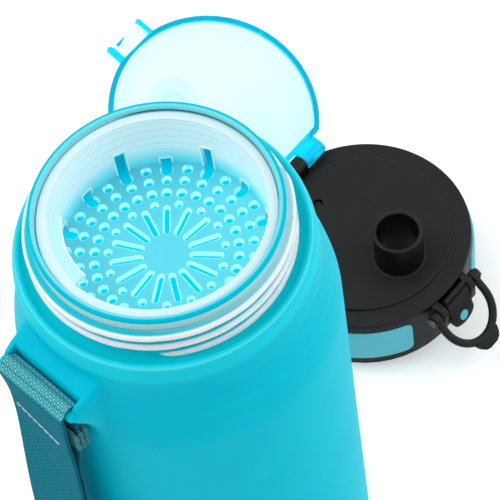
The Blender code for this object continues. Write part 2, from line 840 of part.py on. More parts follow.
def make_liner(lid):
    outer = shell_radius - shell_wall - fit
    inner = outer - liner_wall
    flange_top = liner_flange_height + liner_flange_thickness
    chimney_outer = liner_chimney_radius + liner_chimney_wall
    chimney_top = deck_height - deck_thickness - fit
    profile = [
        (chimney_outer, chimney_top),
        (chimney_outer, flange_top),
        (outer, flange_top),
        (outer, fit),
        (outer - fit, 0.0),
        (inner, 0.0),
        (inner, liner_flange_height),
        (liner_chimney_radius, liner_flange_height),
        (liner_chimney_radius, chimney_top),
    ]
    liner = turned("lid_liner", profile, lid, closed=True)
    liner.data.materials.append(black_plastic)
    top = liner_flange_height - fit
    gasket_outer = inner - 2 * fit
    gasket_inner = gasket_outer - gasket_width
    gasket = turned("lid_gasket", [
        (gasket_outer - fit, top),
        (gasket_outer, top - fit),
        (gasket_outer, top - gasket_thickness + fit),
        (gasket_outer - fit, top - gasket_thickness),
        (gasket_inner, top - gasket_thickness),
        (gasket_inner, top),
    ], lid, closed=True, steps=32)
    gasket.data.materials.append(silicone)


def make_vent_valve(lid):
    under_deck = deck_height - deck_thickness
    disc_top = under_deck - fit
    disc_bottom = disc_top - valve_disc_thickness
    valve = turned("vent_valve", [
        (0.0, under_deck + valve_stem_rise),
        (valve_stem_radius, under_deck + valve_stem_rise),
        (valve_stem_radius, disc_top),
        (valve_disc_radius, disc_top),
        (valve_disc_radius, disc_bottom),
        (0.0, disc_bottom),
    ], lid, at(-vent_offset, 0, 0), steps=16)
    valve.data.materials.append(silicone)


def grip_surface(name, lid, side, margin, radius, thickness):
    """Rounded rectangle wrapped on a cylinder, thickened outwards."""
    low = grip_bottom - margin
    high = grip_bottom + grip_height + margin
    corner = grip_corner + margin
    half_turn = math.radians(90.0 - grip_end_angle) + margin / radius
    corner_turn = corner / radius
    shares = [i / 4 for i in range(4)]
    turns = [-half_turn + corner_turn * (1 - math.cos(math.pi / 2 * s)) for s in shares]
    plain = half_turn - corner_turn
    turns += [-plain + 2 * plain * i / 20 for i in range(21)]
    turns += [half_turn - corner_turn * (1 - math.cos(math.pi / 2 * s)) for s in reversed(shares)]
    mesh = bpy.data.meshes.new(name)
    bm = bmesh.new()
    columns = []
    for turn in turns:
        over = max(0.0, (abs(turn) - plain) / corner_turn)
        drop = corner * (1 - math.sqrt(max(0.0, 1 - over ** 2)))
        angle = side * math.pi / 2 + turn
        x, y = radius * math.cos(angle), radius * math.sin(angle)
        columns.append((bm.verts.new((x, y, low + drop)), bm.verts.new((x, y, high - drop))))
    for first, second in zip(columns, columns[1:]):
        bm.faces.new((first[0], second[0], second[1], first[1]))
    bm.to_mesh(mesh)
    bm.free()
    obj = make_object(name, mesh, lid)
    mod = obj.modifiers.new("thickness", "SOLIDIFY")
    mod.thickness = thickness
    mod.offset = 1.0
    return obj


def make_grips(lid):
    radius = shell_radius + grip_proud - grip_thickness
    for side in (-1, 1):
        pad = grip_surface("grip_pad_" + side_name(side), lid, side, 0.0, radius, grip_thickness)
        pad.data.materials.append(grip_rubber)


def dome_profile(radius, height, base):
    """Superellipse from the top of the dome down to a straight lip."""
    count = 7
    points = []
    for i in range(count + 1):
        t = math.pi / 2 * i / count
        r = radius * math.sin(t) ** (2 / cover_roundness)
        z = base + height * math.cos(t) ** (2 / cover_roundness)
        points.append((r, z))
    points[0] = (0.0, base + height)
    return points


def make_cover(hinge):
    """Clear dome with a flat back wall, two hinge ears and the catch."""
    lip = -cover_lip_drop
    spring_line = lip + cover_straight
    rise = cover_height - cover_straight
    centre = at(hinge_back, 0, 0)
    outer = dome_profile(cover_radius, rise, spring_line) + [(cover_radius, lip), (0.0, lip)]
    cover = turned("flip_cover", outer, hinge, centre, steps=40)
    low = lip - overrun
    hollow_profile = dome_profile(cover_radius - cover_wall, rise - cover_wall, spring_line)
    hollow_profile += [(cover_radius - cover_wall, low), (0.0, low)]
    hollow = turned("cover_hollow", hollow_profile, hinge, centre, steps=40)
    back = knuckle_radius + fit
    wide = cover_radius + overrun
    high = cover_height + overrun
    trim_hollow = box("hollow_trim", (-wide, -wide, low - overrun), (back + cover_wall, wide, high), hinge)
    combine(hollow, trim_hollow, "DIFFERENCE")
    trim_back = box("cover_back_trim", (-wide, -wide, low), (back, wide, high), hinge)
    combine(cover, trim_back, "DIFFERENCE")
    front = hinge_back + catch_chord
    trim_front = box("cover_front_trim", (front, -wide, low), (front + wide, wide, high), hinge)
    combine(cover, trim_front, "DIFFERENCE")
    combine(cover, hollow, "DIFFERENCE")
    add_ears(cover, hinge, back)
    add_catch(cover, hinge)
    add_plug_collar(cover, hinge)
    cover.data.materials.append(clear_plastic)
    return cover


def add_ears(cover, hinge, back):
    start = knuckle_half_length + fit
    length = ear_end - start
    for side in (-1, 1):
        outline = arc(0, 0, knuckle_radius, 90, ear_heel_angle, 8)
        outline += [(0.0, -knuckle_radius), (back + cover_wall / 2, -cover_lip_drop), (back + cover_wall / 2, knuckle_radius)]
        middle = side * (start + length / 2)
        ear = outline_solid("ear_" + side_name(side), outline, length, hinge, at(0, middle, 0, SIDEWAYS))
        combine(cover, ear, "UNION")
    bore = rod("ear_bore", pin_radius + fit, 2 * (ear_end + overrun), hinge, at(0, 0, 0, SIDEWAYS), sides=16)
    combine(cover, bore, "DIFFERENCE")


def add_catch(cover, hinge):
    """Flat tab between two side arms, with the nib that drops in front of the claw."""
    root = hinge_back + catch_chord - cover_wall / 2
    tip = hinge_back + catch_reach
    lip = -cover_lip_drop
    arm_inner = catch_arm_half_span - catch_arm_width
    nib_start = hinge_back + button_back() + button_claw_depth + fit
    web_tip = nib_start + nib_thickness
    web = box("catch_web", (root, -arm_inner - fit, lip), (web_tip, arm_inner + fit, lip + catch_web_thickness), hinge)
    combine(cover, web, "UNION")
    for side in (-1, 1):
        near, far = sorted((side * arm_inner, side * catch_arm_half_span))
        arm = box("catch_arm_" + side_name(side), (root, near, lip), (tip, far, lip + catch_arm_height),
                  hinge, rounding=button_rounding)
        combine(cover, arm, "UNION")
    nib = box(
        "catch_nib",
        (nib_start, -nib_half_width, lip - nib_depth),
        (web_tip, nib_half_width, lip + catch_web_thickness / 2),
        hinge,
    )
    combine(cover, nib, "UNION")


def add_plug_collar(cover, hinge):
    """Short sleeve under the dome that holds the stem of the plug."""
    bottom = plug_disc_top() + fit
    inner = plug_stem_radius + fit
    outer = inner + plug_collar_wall
    top = cover_height - cover_lip_drop - cover_wall
    profile = [(outer, top), (outer, bottom), (inner, bottom), (inner, top)]
    collar = turned("plug_collar", profile, hinge, at(hinge_back + spout_offset, 0, 0), closed=True, steps=20)
    combine(cover, collar, "UNION")


def plug_disc_top():
    return spout_top - hinge_height + fit + plug_disc


def make_plug(hinge):
    top = plug_disc_top()
    bottom = top - plug_disc
    plug = turned("spout_plug", [
        (0.0, top + plug_stem_height),
        (plug_stem_radius, top + plug_stem_height),
        (plug_stem_radius, top),
        (plug_radius, top),
        (plug_radius, bottom),
        (plug_boss_radius, bottom),
        (plug_boss_radius - plug_boss_taper, bottom - plug_boss_depth),
        (0.0, bottom - plug_boss_depth),
    ], hinge, at(hinge_back + spout_offset, 0, 0), steps=24)
    plug.data.materials.append(silicone)


def make_hinge_pin(lid):
    pin = rod("hinge_pin", pin_radius, 2 * ear_end, lid, at(-hinge_back, 0, hinge_height, SIDEWAYS), sides=16)
    pin.data.materials.append(steel)


def print_gap(name, path, per_turn, wire_radius):
    """Least gap between a coil's turns, measured on its points."""
    nearest = min(
        (Vector(a) - Vector(b)).length
        for i, a in enumerate(path) for b in path[i + per_turn // 2:]
    )
    print("%s, least gap between turns: %.2f mm" % (name, (nearest - 2 * wire_radius) / MM))


def make_hinge_spring(lid):
    """Torsion spring round the pin: one leg on the ledge, one towards the cover."""
    per_turn = 8
    count = torsion_turns * per_turn
    width = 2 * (knuckle_spring_half_gap - fit - torsion_wire)
    path = []
    for i in range(count + 1):
        angle = 2 * math.pi * i / per_turn - math.pi / 2
        path.append((
            torsion_radius * math.cos(angle),
            -width / 2 + width * i / count,
            torsion_radius * math.sin(angle),
        ))
    print_gap("hinge spring", path, per_turn, torsion_wire)
    spring = wire("hinge_spring", path, torsion_wire, lid, at(-hinge_back, 0, hinge_height), resolution=1)
    spring.data.materials.append(steel)


def make_button(lid):
    """Push button: side profile with claw and nose, rails on its sides, spring bore behind."""
    back = button_back()
    claw = back + button_claw_depth
    slope = button_slope()
    toe_z = button_face_height - button_toe_drop
    toe_reach = button_face_reach + button_toe_drop * slope
    outline = [
        (back, button_bottom),
        (back, button_claw_top),
        (claw, button_claw_top),
        (claw, button_step_height),
        (button_step_reach, button_step_height),
        (button_upper_reach, button_upper_height),
        (button_face_reach, button_face_height),
        (toe_reach, toe_z),
        (toe_reach - button_rounding, toe_z - button_rounding),
        (back + button_travel, button_bottom),
    ]
    pivot = empty("button_slide", lid, (back, 0, button_spring_height))
    home = at(-back, 0, -button_spring_height)
    button = outline_solid("latch_button", outline, 2 * button_half_width, pivot, home @ SIDEWAYS)
    combine(button, button_front_outline(lid), "INTERSECT")
    round_edges(button, button_rounding)
    rail_start = back + fit
    reach = button_half_width + button_rail_depth
    rails = box(
        "button_rails",
        (rail_start, -reach, button_rail_height),
        (rail_start + button_rail_length, reach, button_rail_height + button_rail_size),
        lid,
    )
    combine(button, rails, "UNION")
    bore = rod("button_spring_bore", button_spring_bore, 2 * button_spring_bore_depth, lid,
               at(back, 0, button_spring_height, FORWARD), sides=20)
    combine(button, bore, "DIFFERENCE")
    face = at(button_face_reach, 0, button_face_height, lean_matrix(slope))
    pocket_depth = inlay_depth - inlay_proud + fit
    pocket = rod("inlay_pocket", inlay_radius + fit, 2 * pocket_depth, lid, face, sides=20)
    combine(button, pocket, "DIFFERENCE")
    button.data.materials.append(black_plastic)
    middle = Matrix.Translation((0, 0, inlay_proud - inlay_depth / 2))
    inlay = rod("button_inlay", inlay_radius, inlay_depth, pivot, home @ face @ middle, sides=20)
    round_edges(inlay, inlay_proud / 2, segments=1)
    inlay.data.materials.append(grip_rubber)


def button_slope():
    """Forward lean of the button's face, as run over rise."""
    return (button_face_reach - button_upper_reach) / (button_upper_height - button_face_height)


def lean_matrix(slope):
    """Local Z square to the leaning face, pointing outwards."""
    return Matrix.Rotation(math.pi / 2 - math.atan(slope), 4, "Y")


def button_front_outline(lid):
    """Front view of the button, its foot rounded, as a cutter along the slide."""
    wide = button_half_width
    outline = [(wide, button_claw_top + overrun), (-wide, button_claw_top + overrun)]
    count = 10
    for i in range(count + 1):
        turn = math.pi * (1 + i / count)
        outline.append((wide * math.cos(turn), button_face_height + button_toe_drop * math.sin(turn)))
    thickness = button_face_reach - shell_radius + 2 * overrun
    middle = shell_radius - overrun / 2 + thickness / 2
    return outline_solid("button_outline", outline, thickness, lid, at(middle, 0, 0, FORWARD))


def make_button_spring(lid):
    per_turn = 8
    count = button_spring_turns * per_turn
    start = shell_radius + fit + button_spring_wire
    end = button_back() + button_spring_bore_depth - fit - button_spring_wire
    path = []
    for i in range(count + 1):
        angle = 2 * math.pi * i / per_turn
        path.append((
            start + (end - start) * i / count,
            button_spring_radius * math.cos(angle),
            button_spring_radius * math.sin(angle),
        ))
    print_gap("button spring", path, per_turn, button_spring_wire)
    spring = wire("button_spring", path, button_spring_wire, lid, at(0, 0, button_spring_height), resolution=1)
    spring.data.materials.append(steel)


def make_bail(pivot):
    """Lock ring: a bent bar with an eye at each end and a thumb tab, in its pivot's frame."""
    bend = bail_length - bail_straight
    path = [(0.0, bail_half_width, 0.0)]
    count = 18
    for i in range(count + 1):
        t = math.pi * (0.5 - i / count)
        path.append((bail_straight + bend * math.cos(t), bail_half_width * math.sin(t), 0.0))
    path.append((0.0, -bail_half_width, 0.0))
    ring = wire("bail_ring", path, bail_wire_radius, pivot, Matrix.Identity(4), resolution=2)
    for side in (-1, 1):
        eye = rod("bail_eye_" + side_name(side), bail_eye_radius, bail_eye_width, pivot,
                  at(0, side * bail_half_width, 0, SIDEWAYS), sides=20)
        combine(ring, eye, "UNION")
    tab = [
        (bail_length + x * bail_thumb_length, y * bail_thumb_half_width)
        for x, y in bail_thumb_shares
    ]
    thumb = outline_solid("bail_thumb", tab, bail_thumb_thickness, pivot, Matrix.Identity(4))
    round_edges(thumb, bail_thumb_thickness / 4)
    combine(ring, thumb, "UNION")
    bore = rod("bail_eye_bore", pin_radius + fit, 2 * (bail_half_width + bail_eye_width), pivot,
               at(0, 0, 0, SIDEWAYS), sides=16)
    combine(ring, bore, "DIFFERENCE")
    ring.data.materials.append(black_plastic)


def make_bail_pins(lid):
    inner = cheek_inner + button_rail_depth
    head = bail_half_width + bail_eye_width / 2 + fit
    for side in (-1, 1):
        turn = SIDEWAYS if side < 0 else SIDEWAYS @ Matrix.Rotation(math.pi, 4, "X")
        pin = turned("bail_pin_" + side_name(side), [
            (0.0, head + bail_pin_head),
            (bail_pin_head_radius, head + bail_pin_head),
            (bail_pin_head_radius, head),
            (pin_radius, head),
            (pin_radius, inner),
            (0.0, inner),
        ], lid, at(bail_pivot_reach, 0, bail_pivot_height, turn), steps=16)
        pin.data.materials.append(steel)


def make_lid():
    lid = empty("lid_frame", None, (lid_x, lid_y, 0.0), (0.0, 0.0, math.radians(lid_turn)))
    make_lid_shell(lid)
    make_liner(lid)
    make_vent_valve(lid)
    make_grips(lid)
    make_hinge_pin(lid)
    make_hinge_spring(lid)
    hinge = empty("cover_hinge", lid, (-hinge_back, 0, hinge_height), (0, -math.radians(cover_open_angle), 0))
    make_cover(hinge)
    make_plug(hinge)
    make_button(lid)
    make_button_spring(lid)
    bail = empty("bail_pivot", lid, (bail_pivot_reach, 0, bail_pivot_height), (0, math.radians(bail_hang_angle), 0))
    make_bail(bail)
    make_bail_pins(lid)


clear_scene()
part_collection = new_collection(FRESH_COLLECTION)
cutter_collection = new_collection(CUTTER_COLLECTION)

frosted = material("frosted_cyan", (0.0, 0.48, 0.62), 0.45, 0.8)
strainer_plastic = material("strainer_cyan", (0.07, 0.64, 0.79), 0.35)
clear_plastic = material("clear_cyan", (0.3, 0.85, 0.95), 0.08, 0.35)
black_plastic = material("black_plastic", (0.022, 0.022, 0.024), 0.45)
grip_rubber = material("grip_rubber", (0.07, 0.42, 0.5), 0.6)
silicone = material("silicone", (0.75, 0.78, 0.78), 0.55)
webbing = material("webbing_teal", (0.02, 0.24, 0.29), 0.85)
steel = metal("steel", (0.62, 0.62, 0.63), 0.3)

make_bottle()
make_strap()
make_strainer()
make_lid()
bpy.context.view_layer.update()
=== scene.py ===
"""Looks of the sports water bottle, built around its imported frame.

Lengths are in millimetres and angles in degrees; build() turns them into metres.
The frame's origin is the centre of the bottle's base, +Z is up and the strap is at -X.
"""

from math import atan, cos, pi, radians, sin, sqrt, tan

import bmesh
import bpy
import numpy as np
from mathutils import Matrix, Vector


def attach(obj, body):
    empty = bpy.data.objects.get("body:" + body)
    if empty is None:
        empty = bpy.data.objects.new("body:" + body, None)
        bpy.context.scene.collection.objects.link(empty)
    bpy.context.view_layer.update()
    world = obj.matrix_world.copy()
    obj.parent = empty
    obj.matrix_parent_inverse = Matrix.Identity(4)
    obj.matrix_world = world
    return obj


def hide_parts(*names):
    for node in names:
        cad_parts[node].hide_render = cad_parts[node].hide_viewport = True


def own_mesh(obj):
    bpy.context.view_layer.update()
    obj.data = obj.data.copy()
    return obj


MM = 0.001
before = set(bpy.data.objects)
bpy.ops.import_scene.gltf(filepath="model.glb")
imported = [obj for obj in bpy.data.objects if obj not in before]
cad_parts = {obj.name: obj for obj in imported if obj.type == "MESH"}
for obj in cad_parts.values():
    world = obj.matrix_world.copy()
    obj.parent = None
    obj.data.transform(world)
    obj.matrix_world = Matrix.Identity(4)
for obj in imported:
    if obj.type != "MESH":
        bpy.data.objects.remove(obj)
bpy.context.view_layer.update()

# Camera, fitted to the photograph
CAMERA_PLACE = (-170.424, -254.063, 687.182)
CAMERA_RIGHT = (0.68758, -0.71979, -0.09557)
CAMERA_UP = (0.65014, 0.55169, 0.52243)
CAMERA_BACK = (-0.32331, -0.42135, 0.8473)
CAMERA_LENS = 174.73
# Where the lamps aim, in metres
LAMPS_AIM = (0.03, 0.0, 0.15)

# Bottle: heights and radii
RIM = 225.0
BODY_R = 40.0
WALL = 2.4
FLOOR = 3.6
CORNER = 5.0
MOUTH_R = 28.3
NECK_R = 30.0
RIM_ROUND = 0.5
LEDGE_Z = 212.8
LEDGE_R = 35.3
LEDGE_ROUND = 0.9
TROUGH_Z = 211.7
UNDER_LEDGE = 210.6
SEAT_LIP = 1.1
SHOULDER_Z = 182.0
# Share of the shoulder's height below the ledge, share of its growth in radius
SHOULDER_SHARES = (
    (0.0, 0.0), (0.13, 0.17), (0.26, 0.23), (0.38, 0.28), (0.44, 0.37), (0.58, 0.56), (0.74, 0.78),
    (0.90, 0.95), (1.0, 1.0),
)
THREAD_START = -142.0
THREAD_END = 700.0
THREAD_START_Z = 212.35
THREAD_PITCH = 3.85
THREAD_HEIGHT = 1.9
THREAD_FOOT = 1.15
THREAD_LEAD = 14.0

# Strap lug
BAR_X = 43.4
BAR_Z = 199.5
BAR_R = 1.5
LUG_GAP = 22.0
LUG_HALF = 13.0
# Height and reach of the lug's nose, from its root above to its root below
LUG_NOSE = (
    (204.2, 33.0), (203.6, 37.5), (203.0, 40.3), (202.2, 42.2), (200.9, 43.6), (199.0, 44.5),
    (197.6, 44.3), (196.0, 43.4), (194.0, 41.9), (191.5, 40.2), (188.0, 38.6), (180.0, 36.0),
)
LUG_BLEND = 3.2
LUG_ROUND = 3.0
LUG_SOFTENING = 16
LUG_SLOT_TOP = 204.7
LUG_SLOT_FOOT = 183.2
LUG_SLOT_WALL = 39.9

# Strap
STRAP_W = 21.4
STRAP_T = 1.3
STRAP_FIT = 0.3
STRAP_SIDE_GAP = 1.9
STRAP_EYE = 9.0
STRAP_HEM = 9.0
STRAP_LENGTH = 147.0
STRAP_FRONT_GAP = 4.6
STRAP_PLY_GAP = 0.5
STRAP_SWELL = 7.1
STRAP_LOOP_GAP = 8.5
STRAP_TWIST = 0.75
# Down the loop: share of its length below the hem, of the swell, of the twist, of the loop's gap
STRAP_LOOP_SHARES = (
    (0.05, 0.12, 0.75, 0.0), (0.11, 0.20, 0.45, 0.0), (0.18, 0.31, 0.2, 0.0), (0.25, 0.42, 0.0, 0.03),
    (0.345, 0.56, 0.0, 0.14), (0.50, 0.74, 0.0, 0.42), (0.68, 0.92, 0.0, 0.80),
    (0.82, 1.0, 0.0, 1.0), (0.92, 0.93, 0.0, 0.92), (0.98, 0.70, 0.0, 0.52),
)
STRAP_BOTTOM_SHARE = 0.30
TAIL_HEIGHT = 7.4
TAIL_PLIES = (41.3, 42.75, 44.2)
TAIL_PLY_T = 0.7
TAIL_FRAY_R = 0.42
TAIL_FRAY_STEP = 0.35
YARN_ACROSS = 0.66
YARN_ALONG = 0.84
STITCH_Z = 186.0
STITCH_COUNT = 8
STITCH_START = -7.4
STITCH_STEP = 2.0
STITCH_LENGTH = 1.5

# Strainer
STRAINER_TOP = 205.0
STRAINER_FLOOR = 1.6
STRAINER_WALL_IN = 25.7
STRAINER_WALL_OUT = 26.9
STRAINER_LIP_R = 28.0
STRAINER_LIP_TOP = 212.5
STRAINER_LIP_BOTTOM = 211.3
FLANGE_TOP = 223.6
FLANGE_BOTTOM = 222.3
TAB_INNER = 22.1
TAB_TOP = 222.8
TAB_THICK = 1.2
TAB_START = 132.0
TAB_END = 177.5
SLOT_AZIMUTH = 44.7
SLOT_COUNT = 15
INNER_SLOT = (5.7, 13.4, 1.3)
OUTER_SLOT = (22.4, 30.3, 2.7)
SLOT_FRAME = 0.35
LOW_RISE = 2.6
TALL_RISE = 8.7
# Rings of holes: radius of the ring, of a hole, holes for each slot, offset in slot pitches
HOLE_RINGS = ((14.0, 0.8, 1, 0.5), (17.2, 1.05, 2, 0.0), (20.8, 1.0, 2, 0.0), (24.1, 1.1, 1, 0.5))
HOLE_SIDES = 20

# Lid
LID = Matrix.Translation((110.0, 51.3, 0.0)) @ Matrix.Rotation(radians(-86.2), 4, "Z")
DECK_Z = 27.0
DECK_R = 28.8
DECK_T = 2.0
LID_LEDGE_Z = 26.0
SHELL_R = 35.0
SHELL_WALL = 1.4
SHELL_BOTTOM = 3.4
CHIMNEY_OUT = 27.7
FIT = 0.3
SPOUT_U = 15.0
SPOUT_R = 7.9
SPOUT_BORE = 6.6
SPOUT_TOP = 41.5
COLLAR_DROP = 7.0
VENT_U = -18.3
VENT_R = 1.5
GRIP_BOTTOM = 7.2
GRIP_TOP = 22.1
GRIP_T = 0.9
GRIP_PROUD = 0.7
GRIP_CORNER = 2.6
GRIP_END = 25.5
HINGE_U = -31.5
HINGE_Z = 29.3
KNUCKLE_R = 2.9
KNUCKLE_HALF = 8.0
KNUCKLE_GAP = 3.2
EAR_END = 17.0
PIN_R = 1.0
OPEN_ANGLE = 159.5
HINGE = LID @ Matrix.Translation((HINGE_U, 0, HINGE_Z)) @ Matrix.Rotation(radians(-OPEN_ANGLE), 4, "Y")

# Cover, in its hinge's frame; COVER_U is the way from the hinge to the dome's axis
COVER_U = -HINGE_U
COVER_R = 34.9
COVER_FRONT = 34.2
COVER_WALL = 1.8
COVER_LIP = -1.8
COVER_STRAIGHT = 1.6
COVER_RISE = 20.8
COVER_ROUNDNESS = 2.8
CATCH_ROOT = COVER_U + COVER_FRONT - 0.9
CATCH_TIP = COVER_U + 40.4
ARM_HALF = 8.0
ARM_WIDTH = 2.0
ARM_HEIGHT = 3.5
WEB_T = 1.4
NIB_START = COVER_U + 36.5 + 1.0 + FIT
NIB_T = 1.4
NIB_DEPTH = 2.6
NIB_HALF = 4.4
PLUG_U = COVER_U + SPOUT_U
PLUG_R = 8.2
PLUG_TOP = 14.1
PLUG_BOTTOM = 12.5

# Button, in the lid's frame
BUTTON_HALF = 5.0
BUTTON_BACK = 36.5
INLAY_U = 40.5
INLAY_Z = 15.7
BUTTON_OUTLINE = (
    (36.5, 12.0), (36.5, 27.0), (37.5, 27.0), (37.5, 24.5), (38.2, 24.5), (39.25, 20.0),
    (INLAY_U, INLAY_Z), (41.37, 12.7), (40.87, 12.2), (37.7, 12.0),
)
BUTTON_SLOPE = (INLAY_U - 39.25) / (20.0 - INLAY_Z)
BUTTON_ROUND = 0.6
RAIL_Z = 17.2
RAIL_SIZE = 1.8
RAIL_REACH = 5.9
SPRING_Z = 19.0
SPRING_BORE = 2.4
SPRING_SEAT_U = 35.3
INLAY_R = 1.8
INLAY_PROUD = 0.2

# Cheeks and lock ring
CHEEK_IN = 5.4
CHEEK_W = 2.8
CHEEK_OUTLINE = ((33.0, 14.1), (37.8, 14.1), (39.2, 16.2), (39.2, 22.7), (37.6, 25.3), (33.0, 25.3))
BAIL_U = 36.9
BAIL_Z = 22.7
BAIL_ANGLE = 43.9
BAIL_HALF = 9.87
BAIL_STRAIGHT = 5.7
BAIL_LENGTH = 16.6
BAIL_R = 1.35
BAIL_PIN_REACH = 10.2
BAIL_EYE_R = 2.1
BAIL_EYE_W = 2.7
THUMB_LENGTH = 3.9
THUMB_HALF = 4.3
THUMB_T = 2.2
THUMB_SHARES = ((0.0, 1.2), (0.10, 1.16), (0.55, 0.98), (0.86, 0.74), (1.0, 0.38))
BAIL = LID @ Matrix.Translation((BAIL_U, 0, BAIL_Z)) @ Matrix.Rotation(radians(BAIL_ANGLE), 4, "Y")

SIDEWAYS = Matrix(((1, 0, 0, 0), (0, 0, -1, 0), (0, 1, 0, 0), (0, 0, 0, 1)))
FORWARD = Matrix(((0, 0, 1, 0), (1, 0, 0, 0), (0, 1, 0, 0), (0, 0, 0, 1)))
STILL = Matrix.Identity(4)


def at(x, y, z, turn=STILL):
    return Matrix.Translation((x, y, z)) @ turn


# Mesh tools

def linked(name, data):
    obj = bpy.data.objects.new(name, data)
    bpy.context.scene.collection.objects.link(obj)
    return obj


def build(name, verts, faces, place=STILL):
    """Mesh object from points in millimetres, in the frame's place."""
    points = np.array(verts, float)
    matrix = np.array(place)
    points = (points @ matrix[:3, :3].T + matrix[:3, 3]) * MM
    mesh = bpy.data.meshes.new(name)
    mesh.from_pydata(points.tolist(), [], faces)
    bm = bmesh.new()
    bm.from_mesh(mesh)
    bmesh.ops.recalc_face_normals(bm, faces=bm.faces)
    bm.to_mesh(mesh)
    bm.free()
    return linked(name, mesh)


def ring_faces(rows, columns, closed_rows):
    """Quads between rows of a grid that is closed along its columns."""
    last = rows if closed_rows else rows - 1
    return [
        (i * columns + j, i * columns + (j + 1) % columns,
         (i + 1) % rows * columns + (j + 1) % columns, (i + 1) % rows * columns + j)
        for i in range(last) for j in range(columns)
    ]


def turned(name, profile, place=STILL, steps=160):
    """Solid of revolution. A profile that starts and ends on the axis gets poles."""
    poles = profile[0][0] == 0 and profile[-1][0] == 0
    rings = profile[1:-1] if poles else profile
    angles = np.arange(steps) * 2 * pi / steps
    verts = [(r * cos(a), r * sin(a), z) for r, z in rings for a in angles]
    faces = ring_faces(len(rings), steps, not poles)
    if poles:
        first, last = len(verts), len(verts) + 1
        verts += [(0, 0, profile[0][1]), (0, 0, profile[-1][1])]
        end = (len(rings) - 1) * steps
        faces += [(first, (j + 1) % steps, j) for j in range(steps)]
        faces += [(last, end + j, end + (j + 1) % steps) for j in range(steps)]
    return build(name, verts, faces, place)


def skin(name, rings, place=STILL):
    """Solid through rings of points of one count, closed at both ends."""
    count = len(rings[0])
    verts = [point for ring in rings for point in ring]
    faces = ring_faces(len(rings), count, False)
    faces += [tuple(range(count))[::-1], tuple(range(len(verts) - count, len(verts)))]
    return build(name, verts, faces, place)


def loft(name, layers, place=STILL):
    """Solid through outlines of one count, each at a height."""
    return skin(name, [[(x, y, z) for x, y in outline] for outline, z in layers], place)


def prism(name, outline, thickness, place=STILL):
    """Flat outline in local XY, thickened along local Z about the middle."""
    count = len(outline)
    verts = [(x, y, z) for z in (-thickness / 2, thickness / 2) for x, y in outline]
    faces = [tuple(range(count))[::-1], tuple(range(count, 2 * count))]
    return build(name, verts, faces + ring_faces(2, count, False), place)


def rod(name, radius, length, place, sides=24):
    """Straight bar, or the cutter of a bore, along local Z about the middle."""
    return prism(name, circle(radius, sides), length, place)


def block(name, low, high, place=STILL):
    (x0, y0, z0), (x1, y1, z1) = low, high
    outline = [(x0, y0), (x1, y0), (x1, y1), (x0, y1)]
    return prism(name, outline, z1 - z0, place @ at(0, 0, (z0 + z1) / 2))


def arc(x, y, radius, start, end, count):
    turns = [radians(start + (end - start) * i / count) for i in range(count + 1)]
    return [(x + radius * cos(a), y + radius * sin(a)) for a in turns]


def circle(radius, sides):
    return arc(0, 0, radius, 0, 360 - 360 / sides, sides - 1)


def filleted(points, radius, count=4, closed=False):
    """The outline with each corner rounded, as far as its sides allow."""
    result = []
    total = len(points)
    for i, here in enumerate(points):
        if not closed and i in (0, total - 1):
            result.append(tuple(here))
            continue
        here = Vector(here)
        before, after = Vector(points[i - 1]), Vector(points[(i + 1) % total])
        to_before, to_after = before - here, after - here
        angle = to_before.angle(to_after)
        if angle > radians(172.0):
            result.append(tuple(here))
            continue
        room = 0.45 * min(to_before.length, to_after.length)
        back = min(radius / tan(angle / 2), room)
        start = here + to_before.normalized() * back
        end = here + to_after.normalized() * back
        for k in range(count + 1):
            t = k / count
            result.append(tuple(start * (1 - t) ** 2 + here * 2 * t * (1 - t) + end * t ** 2))
    return result


def smooth_path(points, steps):
    """Catmull-Rom curve through the points."""
    points = [np.array(p, float) for p in points]
    result = []
    for i in range(len(points) - 1):
        a, b = points[max(i - 1, 0)], points[i]
        c, d = points[i + 1], points[min(i + 2, len(points) - 1)]
        for t in np.arange(steps) / steps:
            result.append(0.5 * (2 * b + (c - a) * t + (2 * a - 5 * b + 4 * c - d) * t ** 2
                                 + (3 * b - a - 3 * c + d) * t ** 3))
    return result + [points[-1]]


def resampled(points, spacing):
    """The same line with evenly spaced points."""
    points = np.array(points)
    gone = np.concatenate([[0.0], np.cumsum(np.linalg.norm(np.diff(points[:, :2], axis=0), axis=1))])
    count = max(2, int(round(gone[-1] / spacing)))
    want = np.linspace(0.0, gone[-1], count + 1)
    return np.stack([np.interp(want, gone, points[:, k]) for k in range(points.shape[1])], axis=1), want


def tube(name, path, radius, place=STILL, sides=24):
    """Round bar along a line, its ends rounded off."""
    path = np.array(path, float)
    ways = np.gradient(path, axis=0)
    ways /= np.linalg.norm(ways, axis=1)[:, None]
    side = np.cross(ways[0], (0.0, 0.0, 1.0))
    if np.linalg.norm(side) < 0.1:
        side = np.cross(ways[0], (0.0, 1.0, 0.0))
    rings = []
    for point, way in zip(path, ways):
        side = side - way * side.dot(way)
        side /= np.linalg.norm(side)
        rings.append((point, side.copy(), np.cross(way, side), radius))
    for index, sign in ((0, -1), (-1, 1)):
        point, across, up, _ = rings[index]
        way = ways[index]
        caps = [
            (point + sign * way * radius * sin(t) * 0.6, across, up, radius * cos(t))
            for t in (0.5, 0.95, 1.3)
        ]
        rings = caps[::-1] + rings if index == 0 else rings + caps
    turns = [2 * pi * j / sides for j in range(sides)]
    return skin(name, [[point + size * (across * cos(a) + up * sin(a)) for a in turns]
                       for point, across, up, size in rings], place)


def applied(obj):
    """Put the modifiers' result into the mesh."""
    bpy.context.view_layer.update()
    graph = bpy.context.evaluated_depsgraph_get()
    mesh = bpy.data.meshes.new_from_object(obj.evaluated_get(graph))
    old = obj.data
    obj.modifiers.clear()
    obj.data = mesh
    bpy.data.meshes.remove(old)
    return obj


